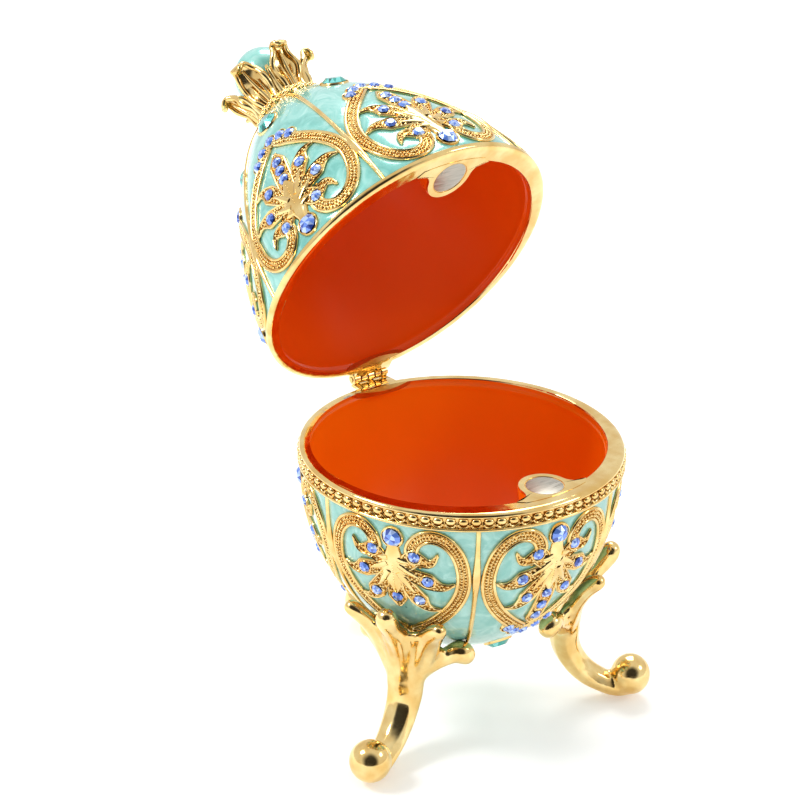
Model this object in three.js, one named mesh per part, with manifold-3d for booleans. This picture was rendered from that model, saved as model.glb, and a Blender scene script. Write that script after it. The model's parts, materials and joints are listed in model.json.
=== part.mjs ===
// A jewelled egg trinket box on three scroll feet, its hinged lid standing open.
// Millimetres, +Z up. The egg's axis is vertical, the hinge is at the back (+Y) and
// the two magnets that hold the lid shut are at the front (-Y).
import * as THREE from "three";
import { mergeVertices } from "three/addons/utils/BufferGeometryUtils.js";
import Module from "manifold-3d";

const wasm = await Module();
wasm.setup();

// Egg
const rimHeight = 51.6; // top of the cup's rim above the ground
const rimRadius = 28;
const closingGap = 0.2; // between the two rims when the lid is shut
const cupStep = 0.7; // from the rim's outside in to the cup's egg
const lidStep = 0.6;
const cupEgg = { radius: rimRadius - cupStep, depth: 37.5, power: 2.35, roundness: 1.75 };
const lidEgg = { radius: rimRadius - lidStep, depth: 41, power: 1.46, roundness: 1.71 };
const poleWall = 2.4; // thickness of each shell at its pole
const rimWall = 2.3;
const cavityRadius = rimRadius - rimWall;
const cavityShift = 1.15; // the cavities stand off the axis, towards the hinge
const shellSides = 24;
const shellSteps = 6; // along each egg, from rim to pole
const cavitySides = 20;
const cavitySteps = 5;
const roundSides = 10; // of magnets, bosses and other small round pieces

// Rim bands
const cupBand = 3.2;
const lidBand = 1.3;
const beadWidth = 1.3; // of the beaded moulding round the cup's rim
const beadHeight = 0.6; // how far the moulding stands out of the band
const beadPlace = 1.1; // from the rim to the middle of the moulding
const rimChamfer = 0.35;

// Panels and their ornament
const panelCount = 6;
const reliefHeight = 0.6;
const reliefRoot = 0.8; // how deep the ornament is let into the shell
const cupTurn = -3.3; // degrees that the cup's ornament is turned from the hinge
const ribWidth = 0.9;
const cupRibEnd = 5; // from the pole, along the egg
const lidRibEnd = 9.5;
const cupHeartStart = 3.6; // from the rim to the heart's lobes, along the egg
const lidHeartStart = 1.6;
const heart = {
  halfWidth: 11.65, // to the middle of its band
  lobeTop: -0.5,
  widest: 8.6,
  apex: 25.9,
  scrollEnd: [3.2, 4.6],
  rootWidth: 3.4,
};
const petalRoot = new THREE.Vector2(0, 8.2);
const petalParting = 0.7; // where two petals part, as a share of the way out to their stones
const hubFoot = new THREE.Vector2(1.2, 4.4);
// Each petal's widest place, where its stone sits, and its tip, as [across, along]. The last
// one stands upright in the middle, and the others are mirrored to the left.
const petals = [
  { stone: [3.7, 5.3], tip: [7, 5.7] },
  { stone: [5.7, 10.05], tip: [8.9, 11.5] },
  { stone: [3.85, 14.6], tip: [6.3, 17.5] },
  { stone: [0, 16], tip: [0, 22.8] },
];

// Stones
const blueStone = { girdle: 1.65, table: 1, crown: 0.6, pavilion: 0.9, sides: 6, place: 2.3 };
const tealStone = { girdle: 2.2, table: 1.5, crown: 0.7, pavilion: 1, sides: 6 };
const lidTealPlace = 35.5; // from the rim, along the egg
const cupTealPlace = 38.5;
const collarWidth = 0.5;
const seatGap = 0.15;

// Magnets
const magnetRadius = 3.2;
const magnetThickness = 2;
const magnetInset = 6.4; // of the magnet's middle from the rim's outside
const magnetPlace = rimRadius - magnetInset;
const bossWall = 1;
const bossDepth = 13;

// Hinge
const hingeShift = 2.5; // the hinge stands a little to the right of the middle
const hingeStandOff = 1.86; // of the pin from the rim's outside
const hingePlace = rimRadius + hingeStandOff;
const hingeLift = 0.84; // of the pin above the cup's rim
const lidAngle = 61.8; // degrees that the lid stands open, at the hinge's stop
const knuckleCount = 5;
const knuckleRadius = 1;
const knuckleGap = 0.12;
const barrelLength = 7.7;
const pinRadius = 0.42;
const pinGap = 0.08;
const leafThickness = 0.45;
const leafDrop = 3;
const leafInset = 5.5; // from the pin to the leaf's bent part
const notchGap = 0.3;

// Legs
const legTurn = -5.8; // degrees that the legs are turned from the hinge
const legWidth = 5.6;
const legDepth = 4.4;
const legSeatDrop = 25.6; // from the rim down to where the leg's head bears on the cup
const footStandOff = 3.9; // of the foot's ball outside the rim
const footReach = rimRadius + footStandOff;
const footBallHeight = 6.2;
const footBallRadius = 3.15;
const footFlat = 0.8; // taken off each sole, so that it stands flat
const legGap = 0.3;

// Crown
const crownRingDrop = 2.4; // of the ring below the lid's pole
const crownRingHeight = lidEgg.depth - crownRingDrop;
const crownRingProud = 0.25; // of the ring outside the lid at its height
const crownWaistRadius = 4.9;
const crownLeafReach = 8.5;
const crownLeafRise = 8.1; // of the leaves' tips above the pole
const crownLeafHeight = lidEgg.depth + crownLeafRise;
const crownLeafWidth = 6;
const crownLeafThickness = 1.1;
const ballRadius = 5.6;
const ballRise = 9; // of the ball's middle above the pole
const ballHeight = lidEgg.depth + ballRise;
const crownGap = 0.3;

const finish = (color, roughness, metalness) =>
  new THREE.MeshStandardMaterial({ color, roughness, metalness });
const gold = finish(0xe6b84e, 0.15, 1);
const aquaEnamel = finish(0x8fd6cc, 0.2, 0.1);
const blueGlass = finish(0x4a6fd0, 0.05, 0);
const tealGlass = finish(0x16a39a, 0.05, 0);
const magnetSteel = finish(0xc8c8c6, 0.35, 0.9);

const radians = THREE.MathUtils.degToRad;

// Solids

function solidOf(geometry) {
  const bare = geometry.clone();
  for (const name of Object.keys(bare.attributes)) {
    if (name !== "position") bare.deleteAttribute(name);
  }
  const merged = mergeVertices(bare, 1e-4);
  return new wasm.Manifold(
    new wasm.Mesh({
      numProp: 3,
      vertProperties: new Float32Array(merged.attributes.position.array),
      triVerts: new Uint32Array(merged.index.array),
    }),
  );
}

function geometryOf(solid) {
  const mesh = solid.getMesh();
  const geometry = new THREE.BufferGeometry();
  geometry.setAttribute(
    "position",
    new THREE.BufferAttribute(new Float32Array(mesh.vertProperties), 3),
  );
  geometry.setIndex(new THREE.BufferAttribute(new Uint32Array(mesh.triVerts), 1));
  return geometry;
}

const joined = (solids) => solids.reduce((all, one) => all.add(one));

// A turned solid about Z. Its profile is a list of [radius, height], from the bottom of the
// axis to its top.
function turned(profile, sides) {
  const points = profile.map(([radius, height]) => new THREE.Vector2(radius, height));
  const geometry = new THREE.LatheGeometry(points, sides);
  geometry.rotateX(Math.PI / 2);
  return geometry;
}

// A closed solid through rings of points that all have the same count. The rings turn
// anticlockwise as seen from the last one.
function loft(rings) {
  const count = rings[0].length;
  const positions = rings.flat().flatMap((point) => point.toArray());
  const index = [];
  for (let ring = 0; ring + 1 < rings.length; ring++) {
    for (let side = 0; side < count; side++) {
      const next = (side + 1) % count;
      const low = ring * count;
      const high = low + count;
      index.push(low + side, low + next, high + next);
      index.push(low + side, high + next, high + side);
    }
  }
  const last = (rings.length - 1) * count;
  for (let side = 1; side + 1 < count; side++) {
    index.push(0, side + 1, side);
    index.push(last, last + side, last + side + 1);
  }
  const geometry = new THREE.BufferGeometry();
  geometry.setAttribute("position", new THREE.Float32BufferAttribute(positions, 3));
  geometry.setIndex(index);
  return geometry;
}

// A tapered limb along a smooth curve through points, each [x, y, z, half width, half depth].
// The width runs along `sideways`, and the depth is square to it and to the curve.
function limb(points, steps, sides, sideways) {
  const curve = new THREE.CatmullRomCurve3(
    points.map(([x, y, z]) => new THREE.Vector3(x, y, z)),
  );
  const sizes = new THREE.CatmullRomCurve3(
    points.map(([, , , width, depth]) => new THREE.Vector3(width, depth, 0)),
  );
  const rings = [];
  for (let step = 0; step <= steps; step++) {
    const along = step / steps;
    const centre = curve.getPoint(along);
    const size = sizes.getPoint(along);
    const direction = curve.getTangent(along);
    const depthAxis = new THREE.Vector3().crossVectors(direction, sideways).normalize();
    const widthAxis = new THREE.Vector3().crossVectors(depthAxis, direction);
    const ring = [];
    for (let side = 0; side < sides; side++) {
      const angle = ((side + 0.5) / sides) * 2 * Math.PI;
      ring.push(
        centre
          .clone()
          .addScaledVector(widthAxis, size.x * Math.cos(angle))
          .addScaledVector(depthAxis, size.y * Math.sin(angle)),
      );
    }
    rings.push(ring);
  }
  return solidOf(loft(rings));
}

function ball(radius, x, y, z, sides = 8) {
  const geometry = new THREE.SphereGeometry(radius, sides, sides - 2);
  geometry.rotateX(Math.PI / 2);
  geometry.translate(x, y, z);
  return solidOf(geometry);
}

function block(width, depth, height, x, y, z) {
  const geometry = new THREE.BoxGeometry(width, depth, height);
  geometry.translate(x, y, z);
  return solidOf(geometry);
}

// The egg's form. Both shells are made as domes over their rim plane, and the cup's dome is
// turned over afterwards.

function eggPoint(egg, share) {
  const angle = (share * Math.PI) / 2;
  return [
    egg.radius * Math.cos(angle) ** (2 / egg.roundness),
    egg.depth * Math.sin(angle) ** (2 / egg.power),
  ];
}

function eggRadius(egg, height) {
  const share = THREE.MathUtils.clamp(height / egg.depth, 0, 1);
  return egg.radius * (1 - share ** egg.power) ** (1 / egg.roundness);
}

function grown(egg, by) {
  return { ...egg, radius: egg.radius + by, depth: egg.depth + by };
}

// Points of the egg from its rim to its pole, evenly spaced along the curve.
function meridian(egg, steps) {
  const fine = 400;
  const path = new THREE.Path();
  for (let i = 0; i <= fine; i++) {
    const [radius, height] = eggPoint(egg, i / fine);
    if (i === 0) path.moveTo(radius, height);
    else path.lineTo(radius, height);
  }
  path.arcLengthDivisions = fine * 2;
  const points = [];
  for (let i = 0; i <= steps; i++) {
    const { x, y } = path.getPointAt(i / steps);
    points.push([x, y]);
  }
  points[0] = [egg.radius, 0];
  points[steps] = [0, egg.depth];
  return { points, length: path.getLength(), path };
}

// Places things on an egg: `across` is the distance from a panel's middle along the
// parallel, `along` the distance from the rim along the meridian, `lift` the height above it.
function eggSurface(egg) {
  const { path, length } = meridian(egg, 1);
  return function place(azimuth, across, along, lift = 0) {
    const share = THREE.MathUtils.clamp(along / length, 0, 1);
    const at = path.getPointAt(share);
    const direction = path.getTangentAt(share);
    const angle = azimuth + across / Math.max(at.x, 1);
    const radius = at.x + lift * direction.y;
    const height = at.y - lift * direction.x;
    const point = new THREE.Vector3(radius * Math.cos(angle), radius * Math.sin(angle), height);
    const normal = new THREE.Vector3(
      direction.y * Math.cos(angle),
      direction.y * Math.sin(angle),
      -direction.x,
    );
    return { point, normal };
  };
}

// Ornament in low relief

// A ridged band over the egg, along a list of [across, along, half width]. Its flanks run down
// into the egg, so each half width is measured at the root.
function reliefBand(place, azimuth, stations) {
  const rings = stations.map(([across, along, half], i) => {
    const before = stations[Math.max(i - 1, 0)];
    const after = stations[Math.min(i + 1, stations.length - 1)];
    const direction = new THREE.Vector2(after[0] - before[0], after[1] - before[1]).normalize();
    const aside = [-direction.y * half, direction.x * half];
    const left = [across + aside[0], along + aside[1]];
    const right = [across - aside[0], along - aside[1]];
    const leftRoot = place(azimuth, left[0], left[1], -reliefRoot).point;
    const rightRoot = place(azimuth, right[0], right[1], -reliefRoot).point;
    return [leftRoot, place(azimuth, across, along, reliefHeight).point, rightRoot];
  });
  return solidOf(loft(rings));
}

// Half of the heart's middle line, from its scroll to its apex, as [across, along].
function heartLine() {
  const lobe = new THREE.CubicBezierCurve(
    new THREE.Vector2(...heart.scrollEnd),
    new THREE.Vector2(heart.scrollEnd[0] + 0.4, heart.lobeTop),
    new THREE.Vector2(heart.halfWidth, heart.lobeTop),
    new THREE.Vector2(heart.halfWidth, heart.widest),
  );
  const flank = new THREE.CubicBezierCurve(
    new THREE.Vector2(heart.halfWidth, heart.widest),
    new THREE.Vector2(heart.halfWidth, heart.widest + 6.4),
    new THREE.Vector2(5.5, heart.apex - 5.4),
    new THREE.Vector2(0, heart.apex),
  );
  return [...lobe.getPoints(3), ...flank.getPoints(2).slice(1)];
}

function heartBand(place, azimuth, start) {
  const half = heartLine();
  const whole = [
    ...half.map(({ x, y }) => [x, y]),
    ...half.slice(0, -1).reverse().map(({ x, y }) => [-x, y]),
  ];
  const stations = whole.map(([x, y]) => [x, start + y, heart.rootWidth / 2]);
  return reliefBand(place, azimuth, stations.reverse());
}

// The palmette inside a heart: seven ridged petals that open from one hub, as one solid.
function palmette(place, azimuth, start) {
  const mirrored = ({ stone, tip }) => ({ stone: [-stone[0], stone[1]], tip: [-tip[0], tip[1]] });
  const fan = [...petals, ...petals.slice(0, -1).reverse().map(mirrored)].map(({ stone, tip }) => ({
    widest: new THREE.Vector2(...stone),
    tip: new THREE.Vector2(...tip),
  }));
  const outline = [hubFoot.clone()];
  fan.forEach(({ widest, tip }, i) => {
    outline.push(tip);
    if (i + 1 === fan.length) return;
    const between = widest.clone().add(fan[i + 1].widest).divideScalar(2);
    outline.push(petalRoot.clone().lerp(between, petalParting));
  });
  outline.push(new THREE.Vector2(-hubFoot.x, hubFoot.y));
  const count = outline.length;
  const lifted = (flat, lift) => place(azimuth, flat.x, start + flat.y, lift).point;
  const points = [
    ...outline.map((flat) => lifted(flat, -reliefRoot / 2)),
    ...outline.map((flat) => lifted(flat, -reliefRoot)),
    ...fan.map(({ widest }) => lifted(widest, reliefHeight * 1.2)),
    lifted(petalRoot, reliefHeight * 1.2),
  ];
  const hub = points.length - 1;
  const index = [hub, count - 1, 0];
  fan.forEach((_, i) => {
    const first = 2 * i; // the outline's corner before this petal
    const ridge = 2 * count + i;
    index.push(first, first + 1, ridge, first + 1, first + 2, ridge);
    index.push(hub, first, ridge, hub, ridge, first + 2);
  });
  for (let i = 0; i < count; i++) {
    const next = (i + 1) % count;
    index.push(i, count + i, count + next, i, count + next, next);
  }
  for (const [a, b, c] of THREE.ShapeUtils.triangulateShape(outline, [])) {
    index.push(count + a, count + c, count + b);
  }
  const geometry = new THREE.BufferGeometry();
  geometry.setAttribute(
    "position",
    new THREE.Float32BufferAttribute(points.flatMap((point) => point.toArray()), 3),
  );
  geometry.setIndex(index);
  return solidOf(geometry);
}

// A rib, with a station at each of the shell's own rows, which are `pitch` apart.
function rib(place, azimuth, from, to, pitch) {
  const rows = [from];
  for (let row = Math.ceil(from / pitch + 0.3) * pitch; row < to - pitch * 0.3; row += pitch) {
    rows.push(row);
  }
  rows.push(to);
  const stations = rows.map((along) => [0, along, ribWidth / 2 + 0.2]);
  return reliefBand(place, azimuth, stations);
}

// Stones: a round brilliant with a flat table, standing on its point at the origin of the
// girdle's plane, +Z outwards.
function stoneForm(stone) {
  return turned(
    [[0, -stone.pavilion], [stone.girdle, 0], [stone.table, stone.crown], [0, stone.crown]],
    stone.sides,
  );
}

// The collar that holds a stone, let into the shell, and the room for the stone in it.
function collarForm(stone) {
  const outer = stone.girdle + seatGap + collarWidth;
  return turned([[0, -stone.pavilion], [outer, -stone.pavilion], [outer, 0], [0, 0]], stone.sides);
}

function seatForm(stone) {
  const inner = stone.girdle + seatGap;
  return turned(
    [[0, -stone.pavilion - seatGap], [inner, 0], [inner, stone.crown], [0, stone.crown]],
    stone.sides,
  );
}

function seatMatrix(place, azimuth, along) {
  const { point, normal } = place(azimuth, 0, along, reliefHeight * 0.7);
  const round = new THREE.Vector3(-Math.sin(azimuth), Math.cos(azimuth), 0);
  const up = new THREE.Vector3().crossVectors(normal, round);
  return new THREE.Matrix4().makeBasis(round, up, normal).setPosition(point);
}

function stoneMesh(name, stone, seat, material) {
  const mesh = new THREE.Mesh(stoneForm(stone), material);
  mesh.name = name;
  mesh.applyMatrix4(seat);
  return mesh;
}

// Shells

// The hollow of one shell, leaning back to the axis as it gets deeper, with the boss for
// the magnet left standing in it.
function cavity(egg) {
  const inner = { ...egg, radius: cavityRadius, depth: egg.depth - poleWall };
  const wall = meridian(inner, cavitySteps).points;
  const geometry = turned([[0, -1], [cavityRadius, -1], ...wall], cavitySides);
  const position = geometry.attributes.position;
  for (let i = 0; i < position.count; i++) {
    const depth = Math.max(position.getZ(i), 0) / inner.depth;
    position.setY(i, position.getY(i) + cavityShift * (1 - depth) ** 2);
  }
  const bossRadius = magnetRadius + seatGap + bossWall;
  const boss = turned(
    [[0, -2], [bossRadius, -2], [bossRadius, bossDepth * 0.45], [0, bossDepth]],
    roundSides,
  );
  boss.translate(0, -magnetPlace, 0);
  return solidOf(geometry).subtract(solidOf(boss));
}

function magnetSocket() {
  const radius = magnetRadius + seatGap;
  const depth = magnetThickness + closingGap;
  const socket = turned([[0, -1], [radius, -1], [radius, depth], [0, depth]], roundSides);
  socket.translate(0, -magnetPlace, 0);
  return solidOf(socket);
}

// The notch in a rim that the hinge's leaf passes through, with room for the leaf inside.
function hingeNotch(shift) {
  const width = barrelLength + 2 * notchGap;
  const depth = leafThickness + notchGap;
  return block(width, leafInset + 4, 2 * depth, shift, hingePlace - leafInset, 0);
}

function shellSolid(egg, band, moulding, ornamentTurn, heartStart, ribEnd, hingeSide, seats) {
  const body = meridian(egg, shellSteps).points.filter(([, height]) => height > band + 1);
  const profile = [
    [0, 0],
    [rimRadius - rimChamfer, 0],
    [rimRadius, rimChamfer],
    ...moulding,
    [rimRadius, band - rimChamfer],
    [eggRadius(egg, band), band],
    ...body,
  ];
  const place = eggSurface(egg);
  const { length } = meridian(egg, 1);
  const dome = turned(profile, shellSides);
  dome.rotateZ(radians(ornamentTurn));
  const pieces = [solidOf(dome)];
  for (let panel = 0; panel < panelCount; panel++) {
    const ribAngle = radians(ornamentTurn + (360 * panel) / panelCount);
    const middle = ribAngle + Math.PI / panelCount;
    pieces.push(rib(place, ribAngle, band - 0.5, length - ribEnd, length / shellSteps));
    pieces.push(heartBand(place, middle, heartStart));
    pieces.push(palmette(place, middle, heartStart));
  }
  for (const { stone, seat } of seats) {
    pieces.push(solidOf(collarForm(stone).applyMatrix4(seat)));
  }
  let solid = joined(pieces);
  for (const { stone, seat } of seats) {
    solid = solid.subtract(solidOf(seatForm(stone).applyMatrix4(seat)));
  }
  return solid
    .subtract(cavity(egg))
    .subtract(magnetSocket())
    .subtract(hingeNotch(hingeSide * hingeShift));
}

// Where a shell's big blue and teal stones sit, in its dome's frame.
function stoneSeats(egg, ornamentTurn, heartStart, tealPlace, hasTeal) {
  const place = eggSurface(egg);
  const seats = [];
  for (let panel = 0; panel < panelCount; panel++) {
    const middle = radians(ornamentTurn) + (Math.PI * (2 * panel + 1)) / panelCount;
    const blue = seatMatrix(place, middle, heartStart + blueStone.place);
    seats.push({ stone: blueStone, seat: blue, kind: "blue", panel });
    if (!hasTeal(panel)) continue;
    seats.push({ stone: tealStone, seat: seatMatrix(place, middle, tealPlace), kind: "teal", panel });
  }
  return seats;
}

function addStones(group, half, seats) {
  for (const { stone, seat, kind, panel } of seats) {
    const material = kind === "blue" ? blueGlass : tealGlass;
    group.add(stoneMesh(kind + "_stone_" + half + "_" + (panel + 1), stone, seat, material));
  }
}

function named(name, geometry, material) {
  const mesh = new THREE.Mesh(geometry, material);
  mesh.name = name;
  return mesh;
}

function magnetMesh(name) {
  const top = magnetThickness + closingGap / 2;
  const disc = turned(
    [[0, closingGap / 2], [magnetRadius, closingGap / 2], [magnetRadius, top], [0, top]],
    roundSides,
  );
  disc.translate(0, -magnetPlace, 0);
  return named(name, disc, magnetSteel);
}

// Hinge. Both halves are made shut, about the pin as the origin, along X.

function knuckle(index) {
  const pitch = barrelLength / knuckleCount;
  const outer = new THREE.Shape().absarc(0, 0, knuckleRadius, 0, 2 * Math.PI);
  outer.holes.push(new THREE.Path().absarc(0, 0, pinRadius + pinGap, 0, 2 * Math.PI, true));
  const geometry = new THREE.ExtrudeGeometry(outer, {
    depth: pitch - knuckleGap,
    bevelEnabled: false,
    curveSegments: 4,
  });
  geometry.rotateY(Math.PI / 2);
  geometry.translate((index - knuckleCount / 2) * pitch + knuckleGap / 2, 0, 0);
  return solidOf(geometry);
}

// One half of the hinge: its knuckles, an arm from each, and a leaf that passes over the
// rim and bends down (side -1) or up (side 1) inside the shell.
function hingeHalf(indices, side) {
  const pitch = barrelLength / knuckleCount;
  const leafTop = side < 0 ? -hingeLift - 0.03 : -hingeLift + closingGap + leafThickness + 0.03;
  const level = leafTop - leafThickness / 2;
  const clear = knuckleRadius + 0.25;
  const armFrom = side < 0 ? 0 : pinRadius + 0.25;
  const armTo = clear + 0.2;
  const pieces = [];
  for (const index of indices) {
    const x = (index + 0.5 - knuckleCount / 2) * pitch;
    pieces.push(knuckle(index));
    pieces.push(
      block(pitch - knuckleGap, armTo - armFrom, leafThickness, x, -(armTo + armFrom) / 2, level),
    );
  }
  pieces.push(
    block(barrelLength, leafInset - clear, leafThickness, 0, -(leafInset + clear) / 2, level),
  );
  pieces.push(
    block(
      barrelLength - 1.4,
      leafThickness,
      leafDrop,
      0,
      -leafInset + leafThickness / 2,
      level + side * (leafDrop / 2 - leafThickness / 2),
    ),
  );
  return geometryOf(joined(pieces));
}

// Legs. Each is made in the plane of +X and placed by turning it about the egg's axis.

function legSolid() {
  const across = new THREE.Vector3(0, 1, 0);
  const width = legWidth / 2;
  const depth = legDepth / 2;
  const seat = eggRadius(cupEgg, legSeatDrop);
  const level = rimHeight - legSeatDrop;
  const column = limb(
    [
      [seat + 2.8, 0, level + 1.5, width * 1.2, depth * 0.6],
      [seat + 0.5, 0, level - 4.4, width * 1.35, depth],
      [seat - 0.9, 0, level - 9.4, width * 1.04, depth],
      [seat - 0.7, 0, 12.4, width, depth],
      [footReach - 10.9, 0, 8.8, width, depth],
      [footReach - 8.1, 0, 5.5 - footFlat, width * 0.95, depth],
      [footReach - 4.5, 0, 3.1 - footFlat, width * 0.9, depth * 0.98],
      [footReach - 0.9, 0, 2 - footFlat, width * 0.85, depth * 0.9],
      [footReach + 1.6, 0, 3.5 - footFlat, width * 0.8, depth * 0.7],
      [footReach + 1.4, 0, footBallHeight, width * 0.6, depth * 0.5],
    ],
    9,
    6,
    across,
  );
  const pieces = [column, ball(footBallRadius, footReach, 0, footBallHeight, 7)];
  // The acanthus head: a knob in the middle, a curl and a horn at each side.
  const knobArm = [
    [seat + 0.8, 0, level - 2, 2, 1.2],
    [seat + 4.3, 0, level + 1.8, 1.5, 1],
    [seat + 6.4, 0, level + 3.8, 1.1, 0.9],
  ];
  pieces.push(limb(knobArm, 1, 4, across));
  pieces.push(ball(1.7, seat + 6.4, 0, level + 4, 5));
  for (const side of [-1, 1]) {
    const curl = [
      [seat, side * 0.5, level - 5.5, 1.7, 1.6],
      [seat + 0.8, side * 4.2, level - 2.8, 1.4, 1.5],
      [seat + 2.4, side * 7, level, 1.2, 1.2],
      [seat + 3.8, side * 7.9, level + 3.2, 1.1, 1.1],
    ];
    pieces.push(limb(curl, 3, 4, new THREE.Vector3(1, 0, 0)));
    const horn = [
      [seat - 0.6, side * 0.4, level - 8.4, 1.7, 1.5],
      [seat - 2, side * 4.4, level - 7.4, 1.4, 1.4],
      [seat - 3.6, side * 7.6, level - 6.4, 1, 1.1],
      [seat - 3.2, side * 9.4, level - 7.4, 0.6, 0.6],
    ];
    pieces.push(limb(horn, 3, 4, new THREE.Vector3(1, 0, 0)));
  }
  const room = grown(cupEgg, reliefHeight + legGap);
  const envelope = turned([[0, -1], [room.radius, -1], ...meridian(room, 8).points], 24);
  envelope.rotateX(Math.PI);
  envelope.translate(0, 0, rimHeight);
  const ground = block(100, 100, 10, 0, 0, -5);
  const solid = joined(pieces).subtract(solidOf(envelope)).subtract(ground);
  return largest(solid);
}

// The biggest of the bodies that a cut leaves.
function largest(solid) {
  return solid.decompose().reduce((a, b) => (b.volume() > a.volume() ? b : a));
}

// Crown: a calyx of six curled leaves that holds the enamelled ball, in the lid's dome frame.
function crownSolid() {
  const ringRadius = eggRadius(lidEgg, crownRingHeight) + crownRingProud;
  const bowl = turned(
    [
      [0, crownRingHeight - 2],
      [ringRadius + 0.5, crownRingHeight - 0.8],
      [ringRadius + 0.3, crownRingHeight + 0.7],
      [crownWaistRadius, crownRingHeight + 2.6],
      [ballRadius + 0.8, ballHeight - 3],
      [0, ballHeight - 3],
    ],
    12,
  );
  const pieces = [solidOf(bowl)];
  for (let leaf = 0; leaf < panelCount; leaf++) {
    const angle = (Math.PI * (2 * leaf + 1)) / panelCount;
    const out = new THREE.Vector3(Math.cos(angle), Math.sin(angle), 0);
    const across = new THREE.Vector3(-out.y, out.x, 0);
    const stations = [
      [crownWaistRadius - 0.8, crownRingHeight + 1.6, 0.4],
      [crownWaistRadius + 0.6, crownRingHeight + 4.6, 0.75],
      [crownLeafReach - 2.1, crownLeafHeight - 3.4, 1],
      [crownLeafReach - 0.9, crownLeafHeight - 0.6, 0.95],
      [crownLeafReach, crownLeafHeight + 0.2, 0.75],
      [crownLeafReach + 0.9, crownLeafHeight - 0.6, 0.45],
    ];
    const points = stations.map(([radius, height, share]) => [
      out.x * radius,
      out.y * radius,
      height,
      (crownLeafWidth / 2) * share,
      crownLeafThickness / 2,
    ]);
    pieces.push(limb(points, 4, 4, across));
  }
  const clear = turned([[0, 0], ...meridian(grown(lidEgg, crownGap), 8).points], 12);
  const roomForBall = ball(ballRadius + crownGap, 0, 0, ballHeight, 10);
  return largest(joined(pieces).subtract(solidOf(clear)).subtract(roomForBall));
}

// Assembly

const model = new THREE.Group();

const cupGroup = new THREE.Group();
cupGroup.position.z = rimHeight;
cupGroup.rotation.y = Math.PI;
model.add(cupGroup);

const isLegPanel = (panel) => panel % 2 === 1;
const cupSeats = stoneSeats(cupEgg, -cupTurn, cupHeartStart, cupTealPlace, (panel) => !isLegPanel(panel));
const beadMoulding = [
  [rimRadius, beadPlace - beadWidth / 2],
  [rimRadius + beadHeight, beadPlace],
  [rimRadius, beadPlace + beadWidth / 2],
];
const cupShell = shellSolid(
  cupEgg,
  cupBand,
  beadMoulding,
  -cupTurn,
  cupHeartStart,
  cupRibEnd,
  -1,
  cupSeats,
);
cupGroup.add(named("cup", geometryOf(cupShell), aquaEnamel));
cupGroup.add(magnetMesh("magnet_cup"));
addStones(cupGroup, "cup", cupSeats);

const hinge = new THREE.Group();
hinge.position.set(hingeShift, hingePlace, rimHeight + hingeLift);
model.add(hinge);
hinge.add(named("hinge_leaf_cup", hingeHalf([0, 2, 4], -1), gold));
const pinForm = new THREE.CylinderGeometry(pinRadius, pinRadius, barrelLength, roundSides);
pinForm.rotateZ(Math.PI / 2);
hinge.add(named("hinge_pin", pinForm, gold));

// The lid's group turns about the pin, from shut to its stop.
const lidSwing = new THREE.Group();
lidSwing.rotation.x = -radians(lidAngle);
hinge.add(lidSwing);
lidSwing.add(named("hinge_leaf_lid", hingeHalf([1, 3], 1), gold));

const lidGroup = new THREE.Group();
lidGroup.position.set(-hingeShift, -hingePlace, closingGap - hingeLift);
lidSwing.add(lidGroup);
const lidSeats = stoneSeats(lidEgg, 0, lidHeartStart, lidTealPlace, () => true);
const lidShell = shellSolid(lidEgg, lidBand, [], 0, lidHeartStart, lidRibEnd, 1, lidSeats);
lidGroup.add(named("lid", geometryOf(lidShell), aquaEnamel));
lidGroup.add(magnetMesh("magnet_lid"));
addStones(lidGroup, "lid", lidSeats);
lidGroup.add(named("crown", geometryOf(crownSolid()), gold));
const ballForm = new THREE.SphereGeometry(ballRadius, 12, 8);
ballForm.rotateX(Math.PI / 2);
ballForm.translate(0, 0, ballHeight);
lidGroup.add(named("crown_ball", ballForm, aquaEnamel));

const leg = geometryOf(legSolid());
const legPlaces = { leg_back: 90, leg_left: 210, leg_right: 330 };
for (const [name, azimuth] of Object.entries(legPlaces)) {
  const mesh = named(name, leg, gold);
  mesh.rotation.z = radians(azimuth + legTurn);
  model.add(mesh);
}

// The origin is the middle of the footprint, on the ground.
model.updateMatrixWorld(true);
const extent = new THREE.Box3().setFromObject(model, true);
const middle = extent.getCenter(new THREE.Vector3());
model.position.set(-middle.x, -middle.y, -extent.min.z);

const part = new THREE.Group();
part.add(model);
export default part;
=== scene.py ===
# A jewelled egg trinket box on three scroll feet, its lid standing open.
# Sizes are in millimetres in the pieces' own frames, and each piece is placed in metres, +Z up.
import json
import math
import random

import bpy
import numpy as np
from mathutils import Matrix, Vector


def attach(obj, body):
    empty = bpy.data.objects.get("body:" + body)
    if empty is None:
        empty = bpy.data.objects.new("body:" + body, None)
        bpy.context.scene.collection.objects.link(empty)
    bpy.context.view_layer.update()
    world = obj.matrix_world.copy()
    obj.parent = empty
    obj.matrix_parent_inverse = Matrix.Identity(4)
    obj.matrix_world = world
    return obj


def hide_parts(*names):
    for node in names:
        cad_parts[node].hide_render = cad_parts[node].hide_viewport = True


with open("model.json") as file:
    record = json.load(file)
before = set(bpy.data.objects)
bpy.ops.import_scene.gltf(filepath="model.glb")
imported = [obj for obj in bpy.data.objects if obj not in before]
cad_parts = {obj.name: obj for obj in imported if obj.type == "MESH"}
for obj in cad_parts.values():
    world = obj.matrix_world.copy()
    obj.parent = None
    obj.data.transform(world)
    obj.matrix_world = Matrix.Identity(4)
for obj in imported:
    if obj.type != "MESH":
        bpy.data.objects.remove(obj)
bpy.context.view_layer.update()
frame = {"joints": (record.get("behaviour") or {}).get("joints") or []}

MM = 0.001
PANELS = 6

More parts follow.
